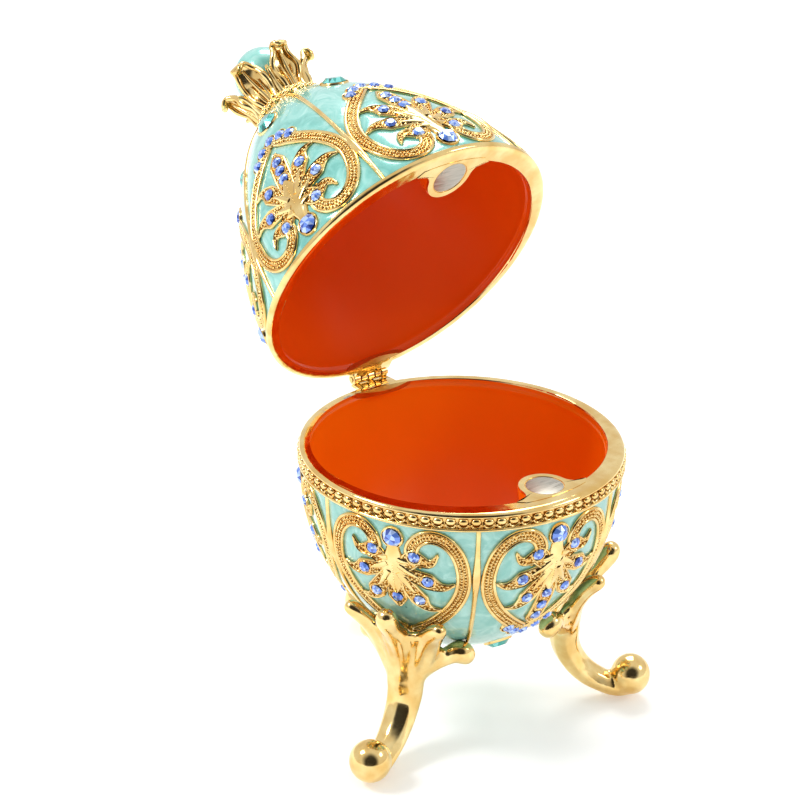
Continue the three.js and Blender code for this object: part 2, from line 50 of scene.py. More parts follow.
# Sizes that the solids share
hinge_shift = 2.5
hinge_place = 29.86
hinge_lift = 0.84
closing_gap = 0.2
rim_radius = 28.0
cup_egg = {"radius": 27.3, "depth": 37.5, "power": 2.35, "roundness": 1.75}
lid_egg = {"radius": 27.4, "depth": 41.0, "power": 1.46, "roundness": 1.71}
pole_wall = 2.4
cavity_radius = 25.7
cavity_shift = 1.15
cup_band = 3.2
lid_band = 1.3
bead_count = 84
cup_turn = -3.3
leg_turn = -5.8
cup_heart_start = 3.6
lid_heart_start = 1.6
magnet_radius = 3.2
magnet_thickness = 2.0
magnet_place = 21.6
boss_wall = 1.0
boss_depth = 13.0
cup_teal_place = 38.5
lid_teal_place = 35.5

# Sizes of the fine ornament
relief = 0.6
heart_band_width = 2.5
heart_edge = 0.3  # radius of the smooth wire along each edge of a heart
petal_edge = 0.2
petal_half_width = 1.6
rib_radius = 0.42
grain_radius = 0.28
grain_pitch = 0.6
ground_height = 0.3  # of the sunk ground between the grains
small_stone_radius = 1.05
big_stone_radius = 1.65
teal_stone_radius = 2.2
enamel_edge = 0.14  # how high the enamel stands where it meets a gilded line
enamel_pillow = 0.2  # how much further it swells between the gilded lines
enamel_meniscus = 0.9  # over what width it sinks towards them
boss_radius = 4.35
boss_fillet = 2.5
seat_half_width = 6.4
seat_depth = 1.7
seat_reach = 2.3
bead_recess = 0.4  # how deep the rim's beads sit in their channel

# The joint gives the hinge's pin, and the pin gives the egg's axis and the rim's height.
lid_joint = frame["joints"][0]
pin = Vector(lid_joint["pos_m"]) / MM
lid_angle = math.radians(lid_joint["range_deg"][1])
axis_x = pin.x - hinge_shift
axis_y = pin.y - hinge_place
rim_height = pin.z - hinge_lift

to_metres = Matrix.Scale(MM, 4)
egg_place = to_metres @ Matrix.Translation((axis_x, axis_y, 0))
cup_place = egg_place @ Matrix.Translation((0, 0, rim_height)) @ Matrix.Rotation(math.pi, 4, "Y")
hinge_cup_place = to_metres @ Matrix.Translation(pin)
hinge_lid_place = hinge_cup_place @ Matrix.Rotation(-lid_angle, 4, "X")
lid_place = hinge_lid_place @ Matrix.Translation(
    (-hinge_shift, -hinge_place, closing_gap - hinge_lift)
)


# Camera

camera_azimuth = math.radians(-38.188)
camera_elevation = math.radians(24.506)
camera_roll = math.radians(0.93)
camera_distance = 380.9
camera_target_height = 61.3
camera_aim = (-10.714, -2.184)  # from the egg's axis, to the right and up in the picture
camera_lens = 100.86


def add_camera():
    right = Vector((math.cos(camera_azimuth), math.sin(camera_azimuth), 0))
    back = Vector(
        (
            math.sin(camera_azimuth) * math.cos(camera_elevation),
            -math.cos(camera_azimuth) * math.cos(camera_elevation),
            math.sin(camera_elevation),
        )
    )
    up = back.cross(right)
    target = Vector((axis_x, axis_y, camera_target_height))
    target += right * camera_aim[0] + up * camera_aim[1]
    place = target + back * camera_distance
    roll = Matrix.Rotation(camera_roll, 3, back)
    turn = Matrix((roll @ right, roll @ up, back)).transposed()
    bpy.ops.object.camera_add()
    camera = bpy.context.object
    camera.matrix_world = Matrix.Translation(place * MM) @ turn.to_4x4()
    camera.data.lens = camera_lens
    camera.data.sensor_width = 36
    camera.data.clip_start = 0.01
    bpy.context.scene.camera = camera


# Materials


def linear(hex_colour):
    """An sRGB hex colour as the linear values that the shaders use."""
    values = [int(hex_colour[i : i + 2], 16) / 255 for i in (1, 3, 5)]
    curve = [v / 12.92 if v <= 0.04045 else ((v + 0.055) / 1.055) ** 2.4 for v in values]
    return (*curve, 1.0)


def add_node(tree, kind, inputs=None, **settings):
    """Adds a node with its settings. An input is a value, or the socket that it is linked to."""
    made = tree.nodes.new(kind)
    for name, value in settings.items():
        setattr(made, name, value)
    for name, value in (inputs or {}).items():
        if isinstance(value, bpy.types.NodeSocket):
            tree.links.new(value, made.inputs[name])
        else:
            made.inputs[name].default_value = value
    return made


def new_material(name):
    material = bpy.data.materials.new(name)
    material.use_nodes = True
    tree = material.node_tree
    tree.nodes.clear()
    shader = add_node(tree, "ShaderNodeBsdfPrincipled")
    add_node(tree, "ShaderNodeOutputMaterial", {"Surface": shader.outputs[0]})
    coordinates = add_node(tree, "ShaderNodeTexCoord").outputs["Object"]
    return material, tree, shader, coordinates


def ramp(tree, factor, stops):
    """A colour ramp through (position, hex colour) stops."""
    made = add_node(tree, "ShaderNodeValToRGB", {0: factor})
    elements = made.color_ramp.elements
    while len(elements) < len(stops):
        elements.new(0.5)
    for element, (position, colour) in zip(elements, stops):
        element.position = position
        element.color = linear(colour)
    return made.outputs["Color"]


def gilded_zinc(name, warm="#e6be74", pale="#f6dc9c", roughness=(0.05, 0.14), dents=0.3):
    """Cast zinc, polished and plated with bright gold: a mirror that is slightly uneven."""
    material, tree, shader, coordinates = new_material(name)
    cloud = add_node(
        tree, "ShaderNodeTexNoise", {"Vector": coordinates, "Scale": 260.0, "Detail": 3.0}
    ).outputs["Fac"]
    wave = add_node(
        tree, "ShaderNodeTexNoise", {"Vector": coordinates, "Scale": 420.0, "Detail": 1.0}
    ).outputs["Fac"]
    shine = add_node(
        tree,
        "ShaderNodeMapRange",
        {"Value": cloud, "From Min": 0.3, "From Max": 0.7, "To Min": roughness[0], "To Max": roughness[1]},
    ).outputs["Result"]
    bump = add_node(
        tree, "ShaderNodeBump", {"Height": wave, "Strength": dents, "Distance": 0.0002}
    ).outputs["Normal"]
    tree.links.new(ramp(tree, cloud, [(0.35, warm), (0.65, pale)]), shader.inputs["Base Color"])
    tree.links.new(shine, shader.inputs["Roughness"])
    tree.links.new(bump, shader.inputs["Normal"])
    shader.inputs["Metallic"].default_value = 1.0
    return material


def pearl_enamel(name, deep, middle, light):
    """Cold enamel with mica in it: soft pearly swirls under a glossy, slightly wavy surface."""
    material, tree, shader, coordinates = new_material(name)
    drift = add_node(
        tree, "ShaderNodeTexNoise", {"Vector": coordinates, "Scale": 90.0, "Detail": 2.0}
    ).outputs["Color"]
    shifted = add_node(
        tree,
        "ShaderNodeVectorMath",
        {0: drift, 1: (0.02, 0.02, 0.02)},
        operation="MULTIPLY",
    ).outputs[0]
    swirled = add_node(
        tree, "ShaderNodeVectorMath", {0: coordinates, 1: shifted}, operation="ADD"
    ).outputs[0]
    swirl = add_node(
        tree,
        "ShaderNodeTexNoise",
        {"Vector": swirled, "Scale": 170.0, "Detail": 5.0, "Roughness": 0.6, "Distortion": 1.4},
    ).outputs["Fac"]
    colour = ramp(tree, swirl, [(0.3, deep), (0.5, middle), (0.7, light)])
    # Here and there a grain of undissolved pigment, about a quarter of a millimetre across
    to_speck = add_node(
        tree, "ShaderNodeTexVoronoi", {"Vector": coordinates, "Scale": 130.0}
    ).outputs["Distance"]
    is_speck = add_node(
        tree,
        "ShaderNodeMapRange",
        {"Value": to_speck, "From Min": 0.02, "From Max": 0.035, "To Min": 0.8, "To Max": 0.0},
    ).outputs["Result"]
    colour = add_node(
        tree,
        "ShaderNodeMixRGB",
        {"Fac": is_speck, "Color1": colour, "Color2": linear("#2b6f68")},
    ).outputs["Color"]
    bump_height = add_node(
        tree, "ShaderNodeTexNoise", {"Vector": coordinates, "Scale": 230.0, "Detail": 1.0}
    ).outputs["Fac"]
    bump = add_node(
        tree, "ShaderNodeBump", {"Height": bump_height, "Strength": 0.4, "Distance": 0.0003}
    ).outputs["Normal"]
    tree.links.new(colour, shader.inputs["Base Color"])
    tree.links.new(bump, shader.inputs["Normal"])
    shader.inputs["Roughness"].default_value = 0.28
    shader.inputs["Metallic"].default_value = 0.12
    shader.inputs["Coat Weight"].default_value = 1.0
    shader.inputs["Coat Roughness"].default_value = 0.04
    return material


def glossy_enamel(name, deep, light):
    """Opaque enamel poured thick inside: one strong colour with a wet gloss."""
    material, tree, shader, coordinates = new_material(name)
    cloud = add_node(
        tree, "ShaderNodeTexNoise", {"Vector": coordinates, "Scale": 45.0, "Detail": 2.0}
    ).outputs["Fac"]
    bump = add_node(
        tree, "ShaderNodeBump", {"Height": cloud, "Strength": 0.3, "Distance": 0.0006}
    ).outputs["Normal"]
    tree.links.new(ramp(tree, cloud, [(0.35, deep), (0.65, light)]), shader.inputs["Base Color"])
    tree.links.new(bump, shader.inputs["Normal"])
    shader.inputs["Roughness"].default_value = 0.32
    shader.inputs["Specular IOR Level"].default_value = 0.2
    shader.inputs["Coat Weight"].default_value = 0.2
    shader.inputs["Coat Roughness"].default_value = 0.16
    return material


def crystal(name, colour):
    """Cut glass over mirror foil: the foil throws its colour back, the facets glint on top."""
    material, tree, shader, coordinates = new_material(name)
    shader.inputs["Base Color"].default_value = linear(colour)
    shader.inputs["Roughness"].default_value = 0.06
    shader.inputs["Metallic"].default_value = 0.35
    shader.inputs["IOR"].default_value = 1.6
    shader.inputs["Coat Weight"].default_value = 1.0
    shader.inputs["Coat Roughness"].default_value = 0.0
    return material


def foil(name, colour):
    """The mirror foil on the back of a glass stone."""
    material, tree, shader, coordinates = new_material(name)
    shader.inputs["Base Color"].default_value = linear(colour)
    shader.inputs["Roughness"].default_value = 0.08
    shader.inputs["Metallic"].default_value = 1.0
    return material


def nickel_plate(name):
    """A nickel-plated magnet: grey, satin, with fine handling scratches."""
    material, tree, shader, coordinates = new_material(name)
    stretched = add_node(
        tree, "ShaderNodeMapping", {"Vector": coordinates, "Scale": (300.0, 5200.0, 300.0)}
    ).outputs[0]
    scratches = add_node(
        tree, "ShaderNodeTexNoise", {"Vector": stretched, "Scale": 1.0, "Detail": 4.0}
    ).outputs["Fac"]
    rough = add_node(
        tree,
        "ShaderNodeMapRange",
        {"Value": scratches, "From Min": 0.3, "From Max": 0.7, "To Min": 0.25, "To Max": 0.5},
    ).outputs["Result"]
    tree.links.new(ramp(tree, scratches, [(0.3, "#989488"), (0.7, "#bfbbb0")]), shader.inputs["Base Color"])
    tree.links.new(rough, shader.inputs["Roughness"])
    shader.inputs["Metallic"].default_value = 0.9
    return material


def matt_paper(name, colour):
    """The studio's pale paper, on a table that is lit from below."""
    material, tree, shader, coordinates = new_material(name)
    shader.inputs["Base Color"].default_value = linear(colour)
    shader.inputs["Roughness"].default_value = 0.9
    shader.inputs["Emission Color"].default_value = (1, 1, 1, 1)
    shader.inputs["Emission Strength"].default_value = 0.24
    return material


bright_gold = gilded_zinc("bright_gold")
cast_gold = gilded_zinc("cast_gold", roughness=(0.08, 0.2), dents=0.5)
# Darker gold for the sunk grounds, the bead channel and the ring round each magnet: painted shade in the recesses.
painted_shade_gold = gilded_zinc("painted_shade_gold", "#d6a65c", "#ecc47a", roughness=(0.15, 0.3))
polished_gold = gilded_zinc("polished_gold", roughness=(0.11, 0.17), dents=0.35)
satin_gold = gilded_zinc("satin_gold", "#c9a04c", "#dcb868", roughness=(0.4, 0.5))
aqua_pearl = pearl_enamel("aqua_pearl_enamel", "#6fb5aa", "#88c4b9", "#a9d9cf")
pale_aqua_pearl = pearl_enamel("pale_aqua_pearl_enamel", "#5cada3", "#7cc7bd", "#a8dcd4")
orange_enamel = glossy_enamel("orange_enamel", "#fa7202", "#ff7803")
# The lid's lining is a darker copy of the same orange enamel: painted shade, as the lid's hollow faces down.
orange_enamel_painted_shade = glossy_enamel("orange_enamel_painted_shade", "#e04c02", "#e85403")
# Each stone's facets take the glass colour or a lighter or darker copy of it: painted glints and painted shade.
blue_stone_tones = [
    crystal("blue_crystal", "#668fec"),
    crystal("blue_crystal_painted_glint", "#b3ceff"),
    crystal("blue_crystal_painted_shade", "#2b4aa8"),
    foil("blue_foil", "#7e97e6"),
]
teal_stone_tones = [
    crystal("teal_crystal", "#2aa79b"),
    crystal("teal_crystal_painted_glint", "#7fe0dc"),
    crystal("teal_crystal_painted_shade", "#12655f"),
    foil("teal_foil", "#55c9bd"),
]
magnet_nickel = nickel_plate("magnet_nickel")


# Modelling helpers


def only(thing):
    bpy.ops.object.select_all(action="DESELECT")
    thing.select_set(True)
    bpy.context.view_layer.objects.active = thing


def taken(thing):
    """A modelled mesh as its points and faces, and its object is removed."""
    mesh = thing.data
    points = np.empty(len(mesh.vertices) * 3)
    mesh.vertices.foreach_get("co", points)
    points = points.reshape(-1, 3)
    place = np.array(thing.matrix_world)
    points = points @ place[:3, :3].T + place[:3, 3]
    faces = [tuple(face.vertices) for face in mesh.polygons]
    bpy.data.objects.remove(thing)
    bpy.data.meshes.remove(mesh)
    return points, faces


def joined(parts):
    points = np.vstack([part[0] for part in parts])
    faces = []
    first = 0
    for part_points, part_faces in parts:
        faces += [tuple(first + corner for corner in face) for face in part_faces]
        first += len(part_points)
    return points, faces


def copied(part, places):
    """A small part repeated at 4x4 places."""
    points, faces = part
    spread = [points @ place[:3, :3].T + place[:3, 3] for place in places]
    return joined([(one, faces) for one in spread])


def mirrored(part):
    points, faces = part
    return points * (-1, 1, 1), [tuple(reversed(face)) for face in faces]


def made(name, part, place, materials, body, slot, angle=40.0, replaces=(), tone_of_face=None):
    """A finished piece from points and faces, placed in metres and riding on its body."""
    points, faces = part
    mesh = bpy.data.meshes.new(name)
    mesh.from_pydata(points.tolist(), [], faces)
    mesh.transform(place)
    if place.determinant() < 0:
        mesh.flip_normals()
    for material in materials:
        mesh.materials.append(material)
    if tone_of_face is not None:
        mesh.polygons.foreach_set("material_index", np.asarray(tone_of_face, dtype=np.int32))
    piece = bpy.data.objects.new(name, mesh)
    bpy.context.scene.collection.objects.link(piece)
    only(piece)
    if angle:
        bpy.ops.object.shade_smooth_by_angle(angle=math.radians(angle))
    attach(piece, body)
    if replaces:
        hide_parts(*replaces)
    return piece


def ring_section(across, up, lift=0.0):
    """An oval section for a drawn strip, as a closed curve object."""
    bpy.ops.object.select_all(action="DESELECT")
    bpy.ops.curve.primitive_bezier_circle_add(radius=1.0)
    section = bpy.context.object
    section.data.resolution_u = 2
    for knot in section.data.splines[0].bezier_points:
        for name in ("co", "handle_left", "handle_right"):
            at = getattr(knot, name)
            setattr(knot, name, (at.x * across, at.y * up + lift, 0))
    return section


def drawn(points, section, radii=None, closed=False, flat=True, smoothness=2):
    """A strip drawn through points with a section, as points and faces."""
    bpy.ops.object.select_all(action="DESELECT")
    bpy.ops.curve.primitive_bezier_curve_add()
    path = bpy.context.object
    path.data.dimensions = "2D" if flat else "3D"
    if flat:
        path.data.fill_mode = "NONE"
    path.data.resolution_u = smoothness
    path.data.bevel_mode = "OBJECT"
    path.data.bevel_object = section
    path.data.use_fill_caps = not closed
    spline = path.data.splines[0]
    spline.bezier_points.add(len(points) - 2)
    spline.use_cyclic_u = closed
    for i, knot in enumerate(spline.bezier_points):
        knot.co = (*points[i][:2], 0) if flat else points[i]
        knot.radius = radii[i] if radii is not None else 1.0
        knot.handle_left_type = "AUTO"
        knot.handle_right_type = "AUTO"
    bpy.ops.object.convert(target="MESH")
    bpy.ops.object.mode_set(mode="EDIT")
    bpy.ops.mesh.select_all(action="SELECT")
    bpy.ops.mesh.remove_doubles(threshold=1e-5)
    bpy.ops.mesh.normals_make_consistent(inside=False)
    bpy.ops.object.mode_set(mode="OBJECT")
    return taken(bpy.context.object)


def spun(profile, steps):
    """A profile of (radius, height) points spun about Z, its ends closed on the axis."""
    mesh = bpy.data.meshes.new("profile")
    points = [(radius, 0, height) for radius, height in profile]
    mesh.from_pydata(points, [(i, i + 1) for i in range(len(points) - 1)], [])
    thing = bpy.data.objects.new("profile", mesh)
    bpy.context.scene.collection.objects.link(thing)
    only(thing)
    bpy.ops.object.mode_set(mode="EDIT")
    bpy.ops.mesh.select_all(action="SELECT")
    bpy.ops.mesh.spin(steps=steps, angle=2 * math.pi, center=(0, 0, 0), axis=(0, 0, 1))
    bpy.ops.mesh.remove_doubles(threshold=1e-4)
    bpy.ops.mesh.normals_make_consistent(inside=False)
    bpy.ops.object.mode_set(mode="OBJECT")
    return taken(thing)


def orb(radius, segments=16, rings=10):
    bpy.ops.object.select_all(action="DESELECT")
    bpy.ops.mesh.primitive_uv_sphere_add(segments=segments, ring_count=rings, radius=radius)
    return taken(bpy.context.object)


def grain(radius):
    bpy.ops.object.select_all(action="DESELECT")
    bpy.ops.mesh.primitive_ico_sphere_add(subdivisions=1, radius=radius)
    return taken(bpy.context.object)


def slab(top, rows, columns, floor):
    """A closed slab from rows and columns of top points, with its underside flat at a height."""
    top = np.array(top, dtype=float)
    under = top * (1, 1, 0) + (0, 0, floor)
    shift = rows * columns
    faces = []
    for i in range(rows - 1):
        for k in range(columns - 1):
            a = i * columns + k
            faces.append((a, a + 1, a + columns + 1, a + columns))
            faces.append((shift + a, shift + a + columns, shift + a + columns + 1, shift + a + 1))
    border = list(range(columns - 1))
    border += [i * columns + columns - 1 for i in range(rows - 1)]
    border += [(rows - 1) * columns + k for k in range(columns - 1, 0, -1)]
    border += [i * columns for i in range(rows - 1, 0, -1)]
    for a, b in zip(border, border[1:] + border[:1]):
        faces.append((a, shift + a, shift + b, b))
    return np.vstack([top, under]), faces


def outward(part):
    """The same part with all its faces pointing out."""
    points, faces = part
    mesh = bpy.data.meshes.new("turned")
    mesh.from_pydata(np.asarray(points).tolist(), [], faces)
    thing = bpy.data.objects.new("turned", mesh)
    bpy.context.scene.collection.objects.link(thing)
    only(thing)
    bpy.ops.object.mode_set(mode="EDIT")
    bpy.ops.mesh.select_all(action="SELECT")
    bpy.ops.mesh.remove_doubles(threshold=1e-4)
    bpy.ops.mesh.normals_make_consistent(inside=False)
    bpy.ops.object.mode_set(mode="OBJECT")
    return taken(thing)


def tube(rings):
    """A closed tube through rings of equally many points, with a face at each end."""
    count = len(rings[0])
    points = np.array([point for ring in rings for point in ring], dtype=float)
    faces = []
    for i in range(len(rings) - 1):
        for k in range(count):
            a = i * count + k
            b = i * count + (k + 1) % count
            faces.append((a, b, b + count, a + count))
    faces.append(tuple(range(count)))
    faces.append(tuple(range((len(rings) - 1) * count, len(rings) * count)))
    return outward((points, faces))


def smooth_steps(values, count, passes=3):
    """Rows of values resampled evenly by their index and eased."""
    values = np.array(values, dtype=float)
    where = np.linspace(0, len(values) - 1, count)
    rows = np.column_stack([np.interp(where, np.arange(len(values)), column) for column in values.T])
    for _ in range(passes):
        rows[1:-1] = (rows[:-2] + 2 * rows[1:-1] + rows[2:]) / 4
    return rows


def moved(part, x=0.0, y=0.0, z=0.0, scale=(1, 1, 1)):
    points, faces = part
    return points * scale + (x, y, z), faces


def at(x, y, z, turn=None):
    place = np.eye(4)
    if turn is not None:
        place[:3, :3] = turn
    place[:3, 3] = (x, y, z)
    return place


# The egg


def egg_table(egg):
    """The egg's meridian from rim to pole: distance along it, radius, height and direction."""
    angle = np.linspace(0, math.pi / 2, 1600)
    radius = egg["radius"] * np.cos(angle) ** (2 / egg["roundness"])
    height = egg["depth"] * np.sin(angle) ** (2 / egg["power"])
    radius[-1] = 0.0
    step = np.hypot(np.diff(radius), np.diff(height))
    along = np.concatenate([[0], np.cumsum(step)])
    even = np.linspace(0, along[-1], 800)
    radius = np.interp(even, along, radius)
    height = np.interp(even, along, height)
    slope_r = np.gradient(radius, even)
    slope_z = np.gradient(height, even)
    return {"along": even, "radius": radius, "height": height, "slope_r": slope_r, "slope_z": slope_z}


def egg_radius(egg, height):
    share = min(max(height / egg["depth"], 0), 1)
    return egg["radius"] * (1 - share ** egg["power"]) ** (1 / egg["roundness"])


def egg_rows(table, start, count, lift=0.0):
    """Evenly spaced (radius, height) points from a place along the egg to its pole."""
    along = np.linspace(start, table["along"][-1], count)
    radius = np.interp(along, table["along"], table["radius"])
    height = np.interp(along, table["along"], table["height"])
    slope_r = np.interp(along, table["along"], table["slope_r"])
    slope_z = np.interp(along, table["along"], table["slope_z"])
    rows = np.column_stack([radius + lift * slope_z, height - lift * slope_r])
    rows[-1] = (0, table["height"][-1] + lift)
    rows[:, 0] = np.maximum(rows[:, 0], 0)
    return rows.tolist()


def laid(part, table, azimuth, start=0.0):
    """Lays a flat part on the egg: x along the parallel, y along the meridian, z outwards."""
    points, faces = part
    along = points[:, 1] + start
    radius = np.interp(along, table["along"], table["radius"])
    height = np.interp(along, table["along"], table["height"])
    slope_r = np.interp(along, table["along"], table["slope_r"])
    slope_z = np.interp(along, table["along"], table["slope_z"])
    angle = azimuth + points[:, 0] / np.maximum(radius, 1)
    far = radius + points[:, 2] * slope_z
    high = height - points[:, 2] * slope_r
    return np.column_stack([far * np.cos(angle), far * np.sin(angle), high]), faces


def seat(table, azimuth, across, along, lift):
    """The place of a stone on the egg, with +Z outwards."""
    spot, _ = laid((np.array([[across, along, lift], [across, along, lift + 1]]), []), table, azimuth)
    outward = spot[1] - spot[0]
    outward /= np.linalg.norm(outward)
    sideways = np.cross((0, 0, 1), outward)
    sideways /= np.linalg.norm(sideways)
    return at(*spot[0], turn=np.column_stack([sideways, np.cross(outward, sideways), outward]))


# Heart and palmette, drawn flat. x runs across a panel and y away from the rim.


def bezier(a, b, c, d, count):
    t = np.linspace(0, 1, count)[:, None]
    a, b, c, d = (np.array(p, dtype=float) for p in (a, b, c, d))
    return a * (1 - t) ** 3 + 3 * b * t * (1 - t) ** 2 + 3 * c * t**2 * (1 - t) + d * t**3


heart_half_width = 11.65
heart_widest = 8.6
heart_apex = 25.9
heart_lobe_top = -0.5
heart_scroll = (3.2, 4.6)


def heart_line():
    """The right half of the heart's middle line, from its scroll to its apex."""
    scroll_x, scroll_y = heart_scroll
    lobe = bezier(
        heart_scroll,
        (scroll_x + 0.4, heart_lobe_top),
        (heart_half_width, heart_lobe_top),
        (heart_half_width, heart_widest),
        28,
    )
    flank = bezier(
        (heart_half_width, heart_widest),
        (heart_half_width, heart_widest + 6.4),
        (5.5, heart_apex - 5.4),
        (0, heart_apex),
        24,
    )
    return np.vstack([lobe, flank[1:]])


def beside(line, offset):
    """A line set off to its right by a distance."""
    direction = np.gradient(line, axis=0)
    direction /= np.linalg.norm(direction, axis=1)[:, None]
    return line + offset * np.column_stack([direction[:, 1], -direction[:, 0]])


def heart_loop(offset):
    """The outline of the whole heart at a distance from its middle line, as one closed loop."""
    line = heart_line()
    outer = beside(line, -offset)
    inner = beside(line, offset)
    outer = outer[outer[:, 0] >= 0]
    inner = inner[inner[:, 0] >= 0]
    outer = np.vstack([outer[:-1], (0, heart_apex + offset * 1.35)])
    inner = np.vstack([inner[:-1], (0, heart_apex - offset * 1.35)])
    flip = np.array((-1, 1))
    turn_start = line[0] - line[1]
    turn_start /= np.linalg.norm(turn_start)
    round_end = line[0] + turn_start * offset
    right = [*inner[::-1], round_end, *outer]
    left = [point * flip for point in [*outer[::-1][1:], round_end, *inner[:-1]]]
    return right + left


petals = [
    {"stone": (3.7, 5.3), "tip": (7.6, 4.4), "start": (1.6, 7.9), "curl": (6.3, 6.4)},
    {"stone": (5.7, 10.05), "tip": (10.0, 10.3), "start": (1.7, 8.6), "curl": (8.0, 11.1)},
    {"stone": (3.85, 14.6), "tip": (7.1, 16.6), "start": (1.1, 9.6), "curl": (5.2, 16.6)},
]


def centre_petal(stones):
    """The middle petal, as long as its row of stones."""
    last = stones[-1][1]
    return {
        "start": (0, 9.4),
        "stone": stones[0],
        "hold": (0, last + 0.2),
        "curl": (0, last + 1.2),
        "tip": (0, last + 2.5),
    }


def petal_spine(petal, count):
    """From the hub through the stone to the tip."""
    names = ("start", "stone", "hold", "curl", "tip")
    knots = np.array([petal[name] for name in names if name in petal], dtype=float)
    reach = np.concatenate([[0], np.cumsum(np.linalg.norm(np.diff(knots, axis=0), axis=1))])
    where = np.linspace(0, reach[-1], count)
    line = np.column_stack([np.interp(where, reach, knots[:, 0]), np.interp(where, reach, knots[:, 1])])
    for _ in range(3):
        line[1:-1] = (line[:-2] + 2 * line[1:-1] + line[2:]) / 4
    return line


def petal_widths(petal, line, half_width):
    """Half widths away from the rim, which stay full, and towards it, which hollow to the tip."""
    share = np.arange(len(line), dtype=float)
    peak = int(np.argmin(np.linalg.norm(line - np.array(petal["stone"]), axis=1)))
    end = int(np.argmin(np.linalg.norm(line - np.array(petal.get("hold", petal["stone"])), axis=1)))
    rising = 0.55 + 0.45 * np.clip(share / max(peak, 1), 0, 1) ** 0.7
    falling = np.clip((len(line) - 1 - share) / max(len(line) - 1 - end, 1), 0, 1)
    is_rising = share <= end
    away = half_width * np.where(is_rising, rising, falling**0.75)
    towards = half_width * np.where(is_rising, rising, falling ** (0.75 if "hold" in petal else 1.5))
    return away, towards


def petal_parts(petal, wire, bumps, stones):
    """One petal: a smooth wire round it, grains between the wire and the stones, and its ground."""
    line = petal_spine(petal, 15)
    away, towards = petal_widths(petal, line, petal_half_width)
    direction = np.gradient(line, axis=0)
    direction /= np.linalg.norm(direction, axis=1)[:, None]
    aside = np.column_stack([-direction[:, 1], direction[:, 0]])
    left = line + aside * away[:, None]
    right = line - aside * towards[:, None]
    loop = [*left[:-1], line[-1], *right[:-1][::-1]]
    bright = [drawn(loop, wire, closed=True)]
    count = len(line)
    top = []
    for i in range(count):
        for spot in (left[i], line[i], right[i]):
            top.append((spot[0], spot[1], ground_height))
    ground = slab(top, count, 3, -relief)
    places = []
    for i in range(320):
        share = random.random() * (count - 1)
        low = int(share)
        spot = line[low] + (line[min(low + 1, count - 1)] - line[low]) * (share - low)
        side = random.uniform(-1, 1)
        room = (away[low] if side > 0 else towards[low]) - petal_edge - grain_radius * 0.5
        if room < 0.1:
            continue
        spot = spot + aside[low] * side * room
        if any(np.hypot(*(spot - stone)) < small_stone_radius + 0.35 for stone in stones):
            continue
        if any(np.hypot(spot[0] - p[0, 3], spot[1] - p[1, 3]) < grain_pitch * 0.85 for p in places):
            continue
        places.append(at(spot[0], spot[1], ground_height + 0.14))
    if places:
        bright.append(copied(bumps, places))
    return joined(bright), ground


def heart_parts(wire, bumps):
    """A heart: a smooth wire along each edge, grains in the channel between, and its ground."""
    offset = heart_band_width / 2 - heart_edge
    edge = drawn(heart_loop(offset), wire, closed=True, smoothness=1)
    line = heart_line()
    whole = np.vstack([line, line[::-1][1:] * (-1, 1)])
    outer = beside(whole, -offset)
    inner = beside(whole, offset)
    top = []
    for a, b in zip(outer, inner):
        top += [(a[0], a[1], ground_height), (b[0], b[1], ground_height)]
    ground = slab(top, len(whole), 2, -relief)
    step = np.linalg.norm(np.diff(line, axis=0), axis=1)
    reach = np.concatenate([[0], np.cumsum(step)])
    direction = np.gradient(line, axis=0)
    direction /= np.linalg.norm(direction, axis=1)[:, None]
    places = []
    for row in (-1, 1):
        count_along = int(reach[-1] / grain_pitch)
        for i in range(count_along):
            where = (i + 0.25 * row + random.uniform(-0.2, 0.2)) * grain_pitch
            x = np.interp(where, reach, line[:, 0])
            y = np.interp(where, reach, line[:, 1])
            dx = np.interp(where, reach, direction[:, 0])
            dy = np.interp(where, reach, direction[:, 1])
            aside = row * grain_pitch * 0.52 + random.uniform(-0.06, 0.06)
            grain_height = ground_height + random.uniform(0.08, 0.2)
            x += dy * aside
            y -= dx * aside
            places.append(at(x, y, grain_height))
            places.append(at(-x, y, grain_height))
    return joined([edge, copied(bumps, places)]), ground


def collar(radius):
    """The setting round a stone: a slim lip, and a dark gap between it and the glass."""
    return spun(
        [
            (radius + 0.42, -relief),
            (radius + 0.38, relief * 0.7),
            (radius + 0.28, relief * 0.92),
            (radius + 0.16, relief * 0.85),
            (radius + 0.12, 0.1),
            (0, 0.05),
        ],
        20,
    )


# Half widths of the palmette's hub down from the big stone
hub_outline = [(3.6, 1.15), (5.0, 1.45), (6.5, 2.3), (8.0, 3.0), (9.5, 3.1), (11.0, 2.3), (12.4, 1.3), (13.6, 0.5)]
flute_pitch = 0.2  # radians between the flutes that fan out below the big stone
dot_pitch = 0.5


